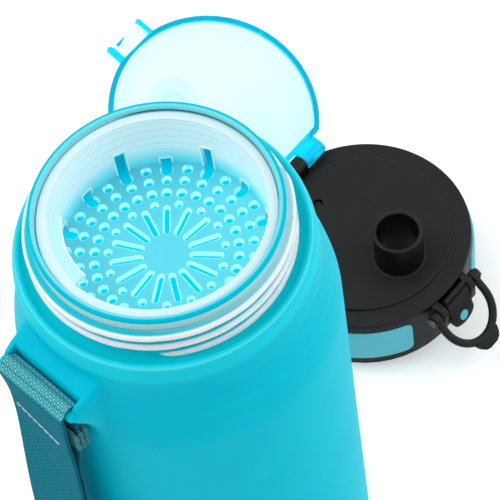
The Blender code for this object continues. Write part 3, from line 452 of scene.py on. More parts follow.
def combined(target, operation, tools):
    for tool in tools:
        mod = target.modifiers.new("shape", "BOOLEAN")
        mod.operation = operation
        mod.object = tool
    applied(target)
    for tool in tools:
        bpy.data.objects.remove(tool, do_unlink=True)
    return target


def cut(target, *tools):
    return combined(target, "DIFFERENCE", tools)


def joined(target, *tools):
    return combined(target, "UNION", tools)


def rounded(obj, width, segments=3, angle=40.0):
    mod = obj.modifiers.new("rounding", "BEVEL")
    mod.width = width * MM
    mod.segments = segments
    mod.limit_method = "ANGLE"
    mod.angle_limit = radians(angle)
    return applied(obj)


def smooth(obj, angle=32.0):
    obj.data.shade_smooth()
    obj.data.set_sharp_from_angle(angle=radians(angle))
    return obj


# Material tools

class Graph:
    """The nodes of a material or world, made in one line each."""

    def __init__(self, owner, shader="Principled BSDF"):
        owner.use_nodes = True
        self.owner = owner
        self.tree = owner.node_tree
        self.shader = self.tree.nodes[shader]

    def put(self, socket, value):
        if isinstance(value, bpy.types.NodeSocket):
            self.tree.links.new(value, socket)
        else:
            socket.default_value = value

    def add(self, kind, *inputs, **settings):
        node = self.tree.nodes.new(kind)
        for key, value in settings.items():
            setattr(node, key, value)
        for socket, value in zip(node.inputs, inputs):
            if value is not None:
                self.put(socket, value)
        return node

    def math(self, operation, *inputs):
        return self.add("ShaderNodeMath", *inputs, operation=operation).outputs[0]

    def times(self, first, *others):
        for other in others:
            first = self.math("MULTIPLY", first, other)
        return first

    def ramp(self, value, low, high):
        """0 below low, 1 above high, smooth between."""
        node = self.add("ShaderNodeMapRange", value, low, high, 0.0, 1.0, interpolation_type="SMOOTHSTEP")
        return node.outputs[0]

    def fall(self, value, low, high):
        """1 below low, 0 above high, smooth between."""
        return self.math("SUBTRACT", 1.0, self.ramp(value, low, high))

    def blend(self, share, first, second):
        """From the first number to the second."""
        return self.add("ShaderNodeMix", share, None, first, second, data_type="FLOAT").outputs[0]

    def mix(self, share, first, second):
        """From the first colour to the second, each a link or the 0 to 255 values of a screen."""
        node = self.add("ShaderNodeMix", share, data_type="RGBA")
        for index, item in ((6, first), (7, second)):
            self.put(node.inputs[index], (*shade(*item), 1.0) if isinstance(item, tuple) else item)
        return node.outputs[2]

    def painted(self, colour, *coats):
        """The colour under a number of coats, each a share and a colour."""
        for share, coat in coats:
            colour = self.mix(share, colour, coat)
        return colour

    def place(self):
        """Object coordinates in millimetres: the vector, its height and its distance from the Z axis."""
        coords = self.add("ShaderNodeTexCoord").outputs["Object"]
        scaled = self.add("ShaderNodeVectorMath", coords, operation="SCALE")
        scaled.inputs["Scale"].default_value = 1.0 / MM
        parts = self.add("ShaderNodeSeparateXYZ", scaled.outputs[0]).outputs
        flat = self.add("ShaderNodeCombineXYZ", parts[0], parts[1], 0.0).outputs[0]
        radius = self.add("ShaderNodeVectorMath", flat, operation="LENGTH").outputs["Value"]
        return scaled.outputs[0], parts[2], radius

    def upward(self):
        """How far the surface faces up, from -1 to 1."""
        normal = self.add("ShaderNodeNewGeometry").outputs["Normal"]
        return self.add("ShaderNodeSeparateXYZ", normal).outputs[2]

    def noise(self, vector, size, detail=2.0):
        """Cloudy value from 0 to 1, with blotches of about the given size in millimetres."""
        node = self.add("ShaderNodeTexNoise", vector)
        node.inputs["Scale"].default_value = 1.0 / size
        node.inputs["Detail"].default_value = detail
        return node.outputs["Fac"]

    def bump(self, height, strength, distance):
        node = self.add("ShaderNodeBump")
        node.inputs["Strength"].default_value = strength
        node.inputs["Distance"].default_value = distance * MM
        self.put(node.inputs["Height"], height)
        self.put(self.shader.inputs["Normal"], node.outputs["Normal"])

    def set(self, **values):
        """Values or links for the shader's own sockets, named in lower case."""
        for key, value in values.items():
            if isinstance(value, tuple) and "color" in key:
                value = (*value, 1.0)
            self.put(self.shader.inputs[key.replace("_", " ").title().replace("Ior", "IOR")], value)


def new_graph(name):
    return Graph(bpy.data.materials.new(name))


def shade(red, green, blue):
    """Linear colour from the 0 to 255 values that a screen shows."""
    def linear(value):
        value /= 255.0
        return value / 12.92 if value <= 0.04045 else ((value + 0.055) / 1.055) ** 2.4
    return tuple(linear(v) for v in (red, green, blue))


def frosted_material():
    """Frosted body. Painted light: a lighter band and a painted highlight on the ledge, a lightened trough,
    white painted highlights on the thread's crests, a painted dark reflection under the rim, and a faint
    painted glow as if lit from inside.
    """
    g = new_graph("frosted_cyan")
    vector, z, radius = g.place()
    below = g.fall(z, LEDGE_Z, LEDGE_Z + 0.2)
    # Painted light on the ledge: a lighter band on its wall, a painted highlight on its rounded edge, and the
    # trough lightened against its shade.
    lit_band = g.times(g.ramp(z, LEDGE_Z - 6.4, LEDGE_Z - 3.8), below)
    edge = g.times(g.ramp(radius, LEDGE_R - 0.7, LEDGE_R - 0.2), g.ramp(z, LEDGE_Z - 1.0, LEDGE_Z - 0.5))
    trough = g.times(g.ramp(z, TROUGH_Z - 0.4, TROUGH_Z - 0.1), below,
                     g.fall(radius, LEDGE_R - 1.5, LEDGE_R - 1.0))
    neck = g.times(g.ramp(z, TROUGH_Z + 0.3, TROUGH_Z + 0.6), g.fall(radius, NECK_R + 2.3, NECK_R + 2.6))
    root = g.mix(g.ramp(z, RIM - 4.1, RIM - 3.0), (26, 198, 214), (172, 220, 227))
    # The thread's crests are painted near white: a painted highlight.
    crest = g.times(g.ramp(radius, NECK_R + 1.0, NECK_R + 1.5), neck)
    # A thin dark line in patches under the rim: a painted dark reflection.
    reflection_patches = g.ramp(g.noise(vector, 26.0, 0.0), 0.42, 0.6)
    line = g.times(g.ramp(z, RIM - 1.7, RIM - 1.5), g.fall(z, RIM - 1.2, RIM - 1.0), reflection_patches)
    rim = g.ramp(z, RIM - 1.1, RIM - 0.8)
    mouth = g.times(g.fall(radius, NECK_R - 1.0, NECK_R - 0.7), rim)
    colour = g.painted(
        g.mix(g.noise(vector, 18.0), (0, 188, 214), (0, 198, 222)),
        (g.times(lit_band, 0.6), (40, 220, 238)), (edge, (80, 222, 236)), (trough, (10, 196, 212)),
        (neck, root), (crest, (250, 250, 252)), (line, (8, 78, 92)), (rim, (0, 184, 208)),
        (mouth, (120, 214, 226)),
    )
    # Painted glow: the inner wall, the trough and the inside of the mouth give off a little light, as if lit
    # from inside, and the rest does so faintly.
    inside = g.times(g.fall(radius, BODY_R - 1.8, BODY_R - 1.4), g.fall(z, 178.0, 196.0))
    behind = g.times(g.fall(radius, MOUTH_R + 0.1, MOUTH_R + 0.4), g.fall(z, 214.0, 216.0))
    painted_glow = 0.03
    for share, strength in ((inside, 0.55), (trough, 0.07), (behind, 0.35)):
        painted_glow = g.math("ADD", g.times(share, strength), painted_glow)
    g.set(base_color=colour, roughness=g.blend(neck, 0.5, 0.12), emission_color=shade(0, 202, 200),
          emission_strength=painted_glow, subsurface_weight=0.3, subsurface_radius=(0.1, 1.0, 1.0),
          subsurface_scale=0.004, specular_ior_level=0.03, ior=1.5)
    g.bump(g.noise(vector, 0.35, 4.0), 0.05, 0.2)
    return g.owner


def strainer_material():
    """Cyan floor with painted highlights on its cut edges, a wavy whitish wall that pales upwards partly with
    painted light, painted highlights on the slot frames and the tab's brim, the finger tab, and a faint
    painted glow.
    """
    g = new_graph("strainer_plastic")
    vector, z, radius = g.place()
    # Painted highlight on the cut edges of the slots and holes at the floor's top.
    cut_edge_highlight = g.times(g.fall(g.upward(), 0.55, 0.93), g.fall(z, STRAINER_TOP + 0.2, STRAINER_TOP + 0.6),
                       g.fall(radius, STRAINER_WALL_IN - 0.7, STRAINER_WALL_IN - 0.3))
    floor = g.painted(g.mix(g.noise(vector, 9.0), (64, 202, 220), (82, 209, 225)),
                      (cut_edge_highlight, (205, 245, 250)))
    waves = g.ramp(g.math("SINE", g.times(z, 2.3)), 0.55, 0.95)
    # Painted highlight along the inner edges of the slot frames.
    frame_highlight = g.times(g.fall(radius, STRAINER_WALL_IN - 0.18, STRAINER_WALL_IN - 0.08),
                         g.fall(z, 215.0, 215.5))
    # The wall pales upwards: partly its pale plastic, partly painted light coming through the clear neck.
    wall = g.painted(
        g.mix(g.ramp(z, STRAINER_TOP + 0.2, STRAINER_TOP + 9.0), (72, 222, 238), (246, 250, 252)),
        (g.times(waves, g.ramp(z, 210.0, 213.0), 0.5), (196, 226, 234)),
        (g.ramp(z, FLANGE_TOP - 0.7, FLANGE_TOP - 0.4), (208, 230, 236)),
        (frame_highlight, (244, 252, 253)),
    )
    tab = g.times(g.ramp(z, TAB_TOP - 1.5, TAB_TOP - 1.2),
                  g.fall(radius, STRAINER_WALL_IN - 0.5, STRAINER_WALL_IN - 0.1))
    # Painted highlight on the tab's inner brim.
    brim_highlight = g.times(tab, g.fall(radius, TAB_INNER + 0.1, TAB_INNER + 0.5))
    colour = g.painted(floor, (g.ramp(z, STRAINER_TOP + 0.2, STRAINER_TOP + 1.2), wall),
                       (tab, (178, 228, 234)), (brim_highlight, (252, 254, 254)))
    # A faint painted glow over the strainer, stronger on the painted highlights of the cut edges.
    g.set(base_color=colour, roughness=0.3, emission_color=shade(170, 240, 248),
          emission_strength=g.math("ADD", g.times(cut_edge_highlight, 0.25), 0.08),
          subsurface_weight=0.3, subsurface_radius=(0.6, 1.0, 1.0), subsurface_scale=0.003)
    g.bump(g.noise(vector, 0.5, 3.0), 0.04, 0.2)
    return g.owner


def clear_material():
    """Clear pale cover; its lip and catch are deep cyan, all but the web between the arms, and glow faintly
    with painted light.
    """
    g = new_graph("clear_cyan")
    vector = g.place()[0]

    def reach(axis):
        """Distance from the hinge along an axis of the cover's frame."""
        way = HINGE.col[axis].to_3d()
        far = g.add("ShaderNodeVectorMath", vector, tuple(way), operation="DOT_PRODUCT").outputs["Value"]
        return g.math("SUBTRACT", far, way.dot(HINGE.to_translation()))

    web = g.times(g.ramp(reach(0), CATCH_ROOT + 0.6, CATCH_ROOT + 1.2),
                  g.fall(g.math("ABSOLUTE", reach(1)), 5.6, 6.1))
    rim = g.times(g.fall(reach(2), COVER_LIP + 1.0, COVER_LIP + 2.6), g.math("SUBTRACT", 1.0, web))
    pale = g.mix(g.noise(vector, 12.0), (238, 255, 255), (246, 255, 255))
    deep = g.mix(g.noise(vector, 3.0), (0, 170, 222), (0, 214, 236))
    # The lip and catch glow faintly: painted light.
    g.set(base_color=g.mix(rim, pale, deep), roughness=g.blend(g.noise(vector, 4.0), 0.02, 0.06),
          transmission_weight=g.blend(rim, 1.0, 0.45), emission_color=shade(0, 190, 230),
          emission_strength=g.times(rim, 0.3), ior=1.2)
    volume = g.add("ShaderNodeVolumeAbsorption")
    volume.inputs["Color"].default_value = (0.0, 0.83, 0.91, 1.0)
    volume.inputs["Density"].default_value = 130.0
    g.tree.links.new(volume.outputs[0], g.tree.nodes["Material Output"].inputs["Volume"])
    return g.owner


def black_material():
    """Satin black, darker on faces that don't look up: painted shade."""
    g = new_graph("satin_black")
    vector = g.place()[0]
    clouds = g.noise(vector, 7.0, 5.0)
    top = g.mix(clouds, (30, 30, 31), (38, 38, 39))
    # Faces that don't look up are painted darker: painted shade.
    g.set(base_color=g.mix(g.ramp(g.upward(), 0.1, 0.8), (11, 11, 12), top),
          roughness=g.blend(clouds, 0.34, 0.44), specular_ior_level=0.15, ior=1.45)
    g.bump(g.noise(vector, 0.25, 4.0), 0.12, 0.15)
    return g.owner


def webbing_material():
    """Woven webbing: cells where either the lengthwise or the crosswise yarn is on top, with painted shade in
    the weave's hollows and painted light on faces that look up.
    """
    g = new_graph("teal_webbing")
    place = g.add("ShaderNodeAttribute", attribute_name="weave").outputs["Vector"]
    parts = g.add("ShaderNodeSeparateXYZ", place).outputs
    across = g.math("DIVIDE", parts[0], YARN_ACROSS)
    along = g.math("DIVIDE", parts[1], YARN_ALONG)
    cell = g.math("ADD", g.math("FLOOR", across), g.math("FLOOR", along))
    odd = g.math("GREATER_THAN", g.math("FRACT", g.times(cell, 0.5)), 0.25)
    hump_across, hump_along = (
        g.math("SINE", g.times(g.math("FRACT", way), pi)) for way in (across, along))
    over = g.times(hump_across, g.blend(0.45, 1.0, hump_along))
    under = g.times(hump_along, hump_across, 0.72)
    height = g.blend(odd, under, over)
    vector = g.place()[0]
    dust = g.noise(vector, 3.0, 5.0)
    fibre = g.times(g.noise(vector, 0.12, 3.0), 0.12)
    # Painted light: faces that look up get the lighter colours.
    painted_top_light = g.ramp(g.upward(), 0.15, 0.75)
    low = g.mix(painted_top_light, (0, 80, 102), (14, 120, 136))
    high = g.mix(painted_top_light, g.mix(dust, (0, 140, 162), (6, 158, 178)),
                 g.mix(dust, (118, 224, 234), (154, 240, 246)))
    # The low yarns of the weave take the darker colour: painted shade in the hollows.
    g.set(base_color=g.mix(fibre, g.mix(height, low, high), (40, 186, 200)),
          roughness=0.75, specular_ior_level=0.06)
    g.bump(g.math("ADD", height, g.times(fibre, 2.5)), 0.6, 0.22)
    return g.owner


def cloudy_material(name, clouds, low, high, rough, grain=None, **settings):
    """Two shades in clouds of a size and detail, and a grain of a size, detail, strength and depth."""
    g = new_graph(name)
    vector = g.place()[0]
    spots = g.noise(vector, *clouds)
    g.set(base_color=g.mix(spots, low, high),
          roughness=g.blend(spots, *rough) if isinstance(rough, tuple) else rough, **settings)
    if grain:
        g.bump(g.noise(vector, *grain[:2]), *grain[2:])
    return g.owner


def steel_material(name, low, high):
    return cloudy_material(name, (0.6, 6.0), (low, low, low + 2), (high, high, high + 2), (0.24, 0.36),
                           (0.6, 6.0, 0.05, 0.05), metallic=1.0)


# Pieces

def lerp_curve(pairs, value):
    """Smooth reading of a table of (height, reach)."""
    line = np.array(smooth_path(pairs, 8))
    order = np.argsort(line[:, 0])
    return float(np.interp(value, line[order, 0], line[order, 1]))


def soft_max(a, b, width):
    """The larger of the two, with a fillet where they meet."""
    h = max(width - abs(a - b), 0.0) / width
    return max(a, b) + h * h * width / 4


def thread_rise(angle, z):
    """How far the neck's screw thread stands out at an angle and a height."""
    rise = 0.0
    for turn in (0, 1, 2):
        along = angle + 360.0 * turn
        if not THREAD_START < along < THREAD_END:
            continue
        crest = THREAD_START_Z + THREAD_PITCH * (along - THREAD_START) / 360.0
        off = abs(z - crest) / THREAD_FOOT
        lead = min(1.0, (along - THREAD_START) / THREAD_LEAD, (THREAD_END - along) / THREAD_LEAD)
        if off < 1.0:
            bell = min(1.0, 1.75 * (1.0 - off ** 1.6))
            rise = max(rise, THREAD_HEIGHT * bell * sin(pi / 2 * lead))
    return rise


def shoulder_line():
    drop = LEDGE_Z - SHOULDER_Z
    points = [(LEDGE_R + g * (BODY_R - LEDGE_R), LEDGE_Z - h * drop) for h, g in SHOULDER_SHARES]
    return smooth_path(points, 6)


def bottle_profile():
    """Rows of the bottle from the mouth's edge down outside, under the base and up inside."""
    outer = arc(MOUTH_R + RIM_ROUND, RIM - RIM_ROUND, RIM_ROUND, 180, 90, 4)
    outer += arc(NECK_R - RIM_ROUND, RIM - RIM_ROUND, RIM_ROUND, 90, 0, 4)
    outer += [(NECK_R, z) for z in np.arange(223.4, TROUGH_Z + 0.6, -0.25)]
    trough = [(NECK_R, TROUGH_Z + 0.5), (NECK_R + 0.5, TROUGH_Z), (NECK_R + 2.6, TROUGH_Z + 0.05),
              (LEDGE_R - 1.3, LEDGE_Z - 0.15)]
    outer += [tuple(p) for p in smooth_path(trough, 3)]
    outer += arc(LEDGE_R - LEDGE_ROUND, LEDGE_Z - LEDGE_ROUND, LEDGE_ROUND, 85, 0, 4)
    side = [p for p in shoulder_line() if p[1] < LEDGE_Z - 1.2 * LEDGE_ROUND]
    side = [np.array(outer[-1])] + side + [np.array((BODY_R, 176.0))]
    line = resampled(side, 0.25)[0][1:]
    outer += [tuple(p) for k, p in enumerate(line) if k % 2 == 0 or 198.0 < p[1] < 205.0]
    outer += [(BODY_R, z) for z in np.linspace(165.0, CORNER + 3.0, 12)]
    outer += arc(BODY_R - CORNER, CORNER, CORNER, 0, -90, 8)
    foot = [(26.8, 0.0), (26.0, 0.8), (17.0, 0.8), (16.2, 0.0)]
    corner = CORNER - WALL
    inside = arc(BODY_R - WALL - corner, FLOOR + corner, corner, -90, 0, 5)
    line = [p for p in shoulder_line() if SHOULDER_Z <= p[1] < UNDER_LEDGE - WALL]
    line = [(r - WALL, z - WALL * (LEDGE_Z - z) / (LEDGE_Z - SHOULDER_Z)) for r, z in line][::-2]
    inside += [(BODY_R - WALL, 120.0)] + line
    inside += [
        (LEDGE_R - WALL, UNDER_LEDGE), (MOUTH_R - SEAT_LIP, UNDER_LEDGE),
        (MOUTH_R - SEAT_LIP, UNDER_LEDGE + 0.3), (MOUTH_R, UNDER_LEDGE + 0.6), (MOUTH_R, 218.0),
    ]
    return outer, foot, inside


def make_bottle():
    outer, foot, inside = bottle_profile()
    rings = outer + foot + [(0.01, 0.0)] + [(0.01, FLOOR)] + inside
    # Columns stand closer at the lug's flanks
    near = np.arange(12.0, 27.0, 0.5)
    angles = np.unique(np.concatenate([np.arange(-180.0, 180.0, 2.0), -180.0 + near, 180.0 - near]))
    lug = np.zeros((len(outer), len(angles)))
    for index, (r, z) in enumerate(outer):
        if not 179.0 < z < 204.2:
            continue
        nose = lerp_curve(LUG_NOSE, z)
        for column, angle in enumerate(angles):
            if abs(angle) > 150.0:
                off = radians(180.0 - abs(angle))
                front = nose / cos(off)
                flank = LUG_HALF / max(sin(off), 0.01)
                lug[index, column] = soft_max(r, -soft_max(-front, -flank, LUG_ROUND), LUG_BLEND) - r
    for _ in range(LUG_SOFTENING):
        lug[1:-1] = (lug[:-2] + 2 * lug[1:-1] + lug[2:]) / 4
        lug = (np.roll(lug, 1, axis=1) + 2 * lug + np.roll(lug, -1, axis=1)) / 4
    verts = []
    for index, (r, z) in enumerate(rings):
        for column, angle in enumerate(angles):
            reach = r
            if index < len(outer):
                reach = r + lug[index, column]
                if r < NECK_R + 0.3 and TROUGH_Z + 0.4 < z < RIM - RIM_ROUND:
                    reach = r + thread_rise(angle, z)
            a = radians(angle)
            verts.append((reach * cos(a), reach * sin(a), z))
    bottle = build("bottle_shell", verts, ring_faces(len(rings), len(angles), True))
    wall, outside = -LUG_SLOT_WALL, -50.0
    top, foot = LUG_SLOT_TOP, LUG_SLOT_FOOT
    cut(bottle, prism("slot", [
        (wall + 1.0, top), (outside, top), (outside, foot), (wall - 2.4, foot), (wall, BAR_Z),
        (wall, top - 2.3), (wall + 0.3, top - 1.7), (wall + 0.8, top - 1.3),
    ], LUG_GAP, SIDEWAYS))
    bar = tube("lug_bar", [(-BAR_X, y, BAR_Z) for y in np.linspace(-11.6, 11.6, 9)], BAR_R)
    return smooth(bottle, 38.0), smooth(bar)


def strap_line():
    """Middle line of the webbing: distance from the axis, height, twist."""
    bend = BAR_R + STRAP_FIT + STRAP_T / 2
    hem_top = BAR_Z - STRAP_EYE
    loop_top = hem_top - STRAP_HEM
    loop = STRAP_LENGTH - STRAP_EYE - STRAP_HEM
    back_x = BODY_R + STRAP_SIDE_GAP
    front_x = back_x + STRAP_FRONT_GAP - STRAP_T
    back_hem_x = back_x + STRAP_T / 2
    over = [(x, z, 0.0) for x, z in arc(BAR_X, BAR_Z, bend, 180, 0, 12)]
    start = [(back_hem_x, loop_top + STRAP_HEM / 2, 0.0), (back_hem_x, hem_top, 0.0), over[0]]
    ply = STRAP_T + STRAP_PLY_GAP
    front = [over[-1], (front_x + 0.06 * STRAP_SWELL, hem_top, STRAP_TWIST),
             (front_x + 0.08 * STRAP_SWELL, loop_top, STRAP_TWIST)]
    back = []
    for h, s, t, g in STRAP_LOOP_SHARES:
        x, z, twist = front_x + s * STRAP_SWELL, loop_top - h * loop, t * STRAP_TWIST
        front.append((x, z, twist))
        back.insert(0, (x - ply - g * STRAP_LOOP_GAP, z, twist))
    bottom = [(front_x + STRAP_BOTTOM_SHARE * STRAP_SWELL - ply / 2, loop_top - loop, 0.0)]
    end = [(back_hem_x, loop_top + STRAP_T, 0.0)]
    points = smooth_path(start, 6)[:-1] + [np.array(p) for p in over]
    return points + smooth_path(front + bottom + back + end, 10)[1:]


def webbing(name, line, width, thickness, rib=0.0, pitch=1.24):
    """Ribbon of webbing along a line in XZ, with ribs along it and rounded edges."""
    line, gone = resampled(line, 0.6)
    ways = np.gradient(line[:, :2], axis=0)
    ways /= np.linalg.norm(ways, axis=1)[:, None]
    half, deep = width / 2, thickness / 2
    count = int(round(width / pitch)) * 4
    lanes = [(half - 0.35) * (2 * i / count - 1) for i in range(count + 1)]
    section = [(y, deep + rib * (cos(2 * pi * i / 4) - 1) / 2) for i, y in enumerate(lanes)]
    section += [(half - 0.1, 0.72 * deep), (half, 0.0), (half - 0.1, -0.72 * deep)]
    section += [(y, -d) for y, d in section[:len(lanes)][::-1]]
    section += [(-half + 0.1, -0.72 * deep), (-half, 0.0), (-half + 0.1, 0.72 * deep)]
    rings, weave = [], []
    for (x, z, twist), (way_x, way_z), length in zip(line, ways, gone):
        out_x, out_z = way_z, -way_x
        rings.append([(-(x - d * out_x) + twist * y / half, y, z + d * out_z) for y, d in section])
        weave += [(y + half, length, 0.0) for y, _ in section]
    ribbon = skin(name, rings)
    attribute = ribbon.data.attributes.new("weave", "FLOAT_VECTOR", "POINT")
    attribute.data.foreach_set("vector", np.array(weave, np.float32).ravel())
    return smooth(ribbon, 60.0)


def make_strap():
    strap = webbing("strap_webbing", strap_line(), STRAP_W, STRAP_T, rib=0.12)
    top = BAR_Z - STRAP_EYE + 0.6
    bottom = top - TAIL_HEIGHT
    folds, ends = [], []
    for i, x in enumerate(TAIL_PLIES):
        line = [(x, z, 0.0) for z in (bottom, (top + bottom) / 2, top)]
        folds.append(webbing("tail_ply_%d" % (i + 1), line, STRAP_W + 1.0, TAIL_PLY_T))
        path = [(-x + 0.32 * sin(1.9 * k), -STRAP_W / 2 - 0.55 - 0.25 * cos(2.5 * k + i),
                 bottom + TAIL_FRAY_STEP * k) for k in range(int((top - bottom) / TAIL_FRAY_STEP))]
        ends.append(smooth(tube("tail_fray_%d" % (i + 1), path, TAIL_FRAY_R, sides=8)))
    return strap, folds + ends


def make_stitches():
    """Row of stitches across the hem, on the strap's outer face."""
    row = []
    front = -(BODY_R + STRAP_SIDE_GAP + STRAP_FRONT_GAP - STRAP_T + 0.07 * STRAP_SWELL) - STRAP_T / 2
    for k in range(STITCH_COUNT):
        y = STITCH_START + k * STITCH_STEP
        path = []
        for t in (0.0, 0.25, 0.5, 0.75, 1.0):
            across = y + STITCH_LENGTH * t
            rise = STITCH_Z + 0.05 * sin(3 * k + t)
            twist = STRAP_TWIST * 2 * across / STRAP_W
            path.append((front + twist - 0.10 * sin(pi * t), across, rise))
        row.append(tube("stitch_%d" % k, path, 0.22, sides=8))
    return smooth(joined_loose("hem_stitches", row))


def joined_loose(name, objects):
    """One object that holds the meshes of several."""
    bm = bmesh.new()
    for obj in objects:
        bm.from_mesh(obj.data)
        bpy.data.objects.remove(obj, do_unlink=True)
    mesh = bpy.data.meshes.new(name)
    bm.to_mesh(mesh)
    bm.free()
    return linked(name, mesh)


def stadium(start, end, width, grow=0.0):
    """Slot with round ends along X."""
    half = width / 2
    near, far = start + half, end - half
    return arc(far, 0, half + grow, -90, 90, 10) + arc(near, 0, half + grow, 90, 270, 10)


def chamfered(shape, low, high, flare=0.28):
    """Layers of a cutter: straight below, flared from just under the floor's top."""
    return [(shape(0.0), low), (shape(0.0), STRAINER_TOP - flare), (shape(flare), STRAINER_TOP + 0.03),
            (shape(flare), high)]


def make_strainer():
    floor_bottom = STRAINER_TOP - STRAINER_FLOOR
    profile = filleted([
        (0.0, STRAINER_TOP), (STRAINER_WALL_IN, STRAINER_TOP), (STRAINER_WALL_IN, FLANGE_TOP),
        (STRAINER_LIP_R, FLANGE_TOP), (STRAINER_LIP_R, FLANGE_BOTTOM), (STRAINER_WALL_OUT, FLANGE_BOTTOM),
        (STRAINER_WALL_OUT, STRAINER_LIP_TOP), (STRAINER_LIP_R, STRAINER_LIP_TOP),
        (STRAINER_LIP_R, STRAINER_LIP_BOTTOM), (STRAINER_WALL_OUT, STRAINER_LIP_BOTTOM),
        (STRAINER_WALL_OUT, floor_bottom), (0.0, floor_bottom),
    ], 0.35, 3)
    basket = turned("strainer_basket", profile, steps=180)
    tab = arc(0, 0, TAB_INNER, TAB_START, TAB_END, 24)
    tab += arc(0, 0, STRAINER_WALL_IN + 0.5, TAB_END, TAB_START, 24)
    tab = prism("finger_tab", filleted(tab, 1.2, 4, True), TAB_THICK, at(0, 0, TAB_TOP - TAB_THICK / 2))
    joined(basket, rounded(tab, 0.3, 3, 60.0))
    low, high = floor_bottom - 1.0, STRAINER_TOP + 1.5
    cutters, rims, frames = [], [], []
    start, end, width = INNER_SLOT
    start_out, end_out, width_out = OUTER_SLOT
    half = width_out / 2 + SLOT_FRAME
    for i in range(SLOT_COUNT):
        turn = Matrix.Rotation(radians(SLOT_AZIMUTH + 360.0 / SLOT_COUNT * i), 4, "Z")
        layers = chamfered(lambda grow: stadium(start, end, width, grow), low, high)
        cutters.append(loft("slot", layers, turn))
        rise = TALL_RISE if i % 5 in (1, 4) else LOW_RISE
        frames.append(block("slot_frame", (STRAINER_WALL_IN - SLOT_FRAME, -half, STRAINER_TOP - 0.4),
                            (STRAINER_WALL_IN + 0.5, half, STRAINER_TOP + rise + SLOT_FRAME), turn))
        tall = [(stadium(start_out, end_out, width_out), z) for z in (low, STRAINER_TOP + rise)]
        cutters.append(loft("tall_slot", tall, turn))
        rim = [(stadium(start_out, STRAINER_WALL_IN - 0.5, width_out, grow), z)
               for grow, z in ((0.0, STRAINER_TOP - 0.3), (0.28, STRAINER_TOP + 0.03))]
        rims.append(loft("slot_rim", rim, turn))
    for ring, hole, each, offset in HOLE_RINGS:
        for i in range(SLOT_COUNT * each):
            angle = SLOT_AZIMUTH + 360.0 / SLOT_COUNT * (offset + i / each)
            turn = Matrix.Rotation(radians(angle), 4, "Z") @ at(ring, 0, 0)
            layers = chamfered(lambda grow: circle(hole + grow, HOLE_SIDES), low, high)
            cutters.append(loft("hole", layers, turn))
    joined(basket, joined_loose("frames", frames))
    cut(basket, joined_loose("holes", cutters))
    cut(basket, joined_loose("rims", rims))
    return smooth(basket, 28.0)


def grip_patch(name, side, margin, radius, thickness, pillow):
    """Rounded rectangle on a cylinder; its edges curl in when it is pillowed."""
    low, high = GRIP_BOTTOM - margin, GRIP_TOP + margin
    corner = GRIP_CORNER + margin
    half = radians(90.0 - GRIP_END) + margin / radius
    turn_corner = corner / radius
    shares = np.linspace(0.0, 1.0, 9)[:-1]
    bend = [turn_corner * (1 - cos(pi / 2 * s)) for s in shares]
    plain = half - turn_corner
    turns = [-half + b for b in bend] + list(np.linspace(-plain, plain, 49)) + [half - b for b in bend[::-1]]
    rows = 12
    verts = []
    for layer in (0, 1):
        for turn in turns:
            over = max(0.0, (abs(turn) - plain) / turn_corner)
            drop = corner * (1 - sqrt(max(0.0, 1 - over ** 2)))
            for k in range(rows + 1):
                z = low + drop + (high - low - 2 * drop) * (1 - cos(pi * k / rows)) / 2
                edge = min(z - low - drop, high - drop - z, (half - abs(turn)) * radius)
                curl = pillow * (1 - min(1.0, edge / 0.8)) ** 2 if layer else 0.0
                reach = radius + thickness * layer - curl
                angle = side * pi / 2 + turn
                verts.append((reach * cos(angle), reach * sin(angle), z))
    row = rows + 1
    size = len(turns) * row
    starts = range(0, size - row, row)
    faces = [(a, a + 1, a + row + 1, a + row) for layer in (0, size) for i in starts
             for a in range(layer + i, layer + i + rows)]
    faces += [(a, a + row, a + row + size, a + size) for i in starts for a in (i, i + rows)]
    faces += [(a, a + 1, a + 1 + size, a + size) for i in (0, size - row) for a in range(i, i + rows)]
    return build(name, verts, faces, LID)


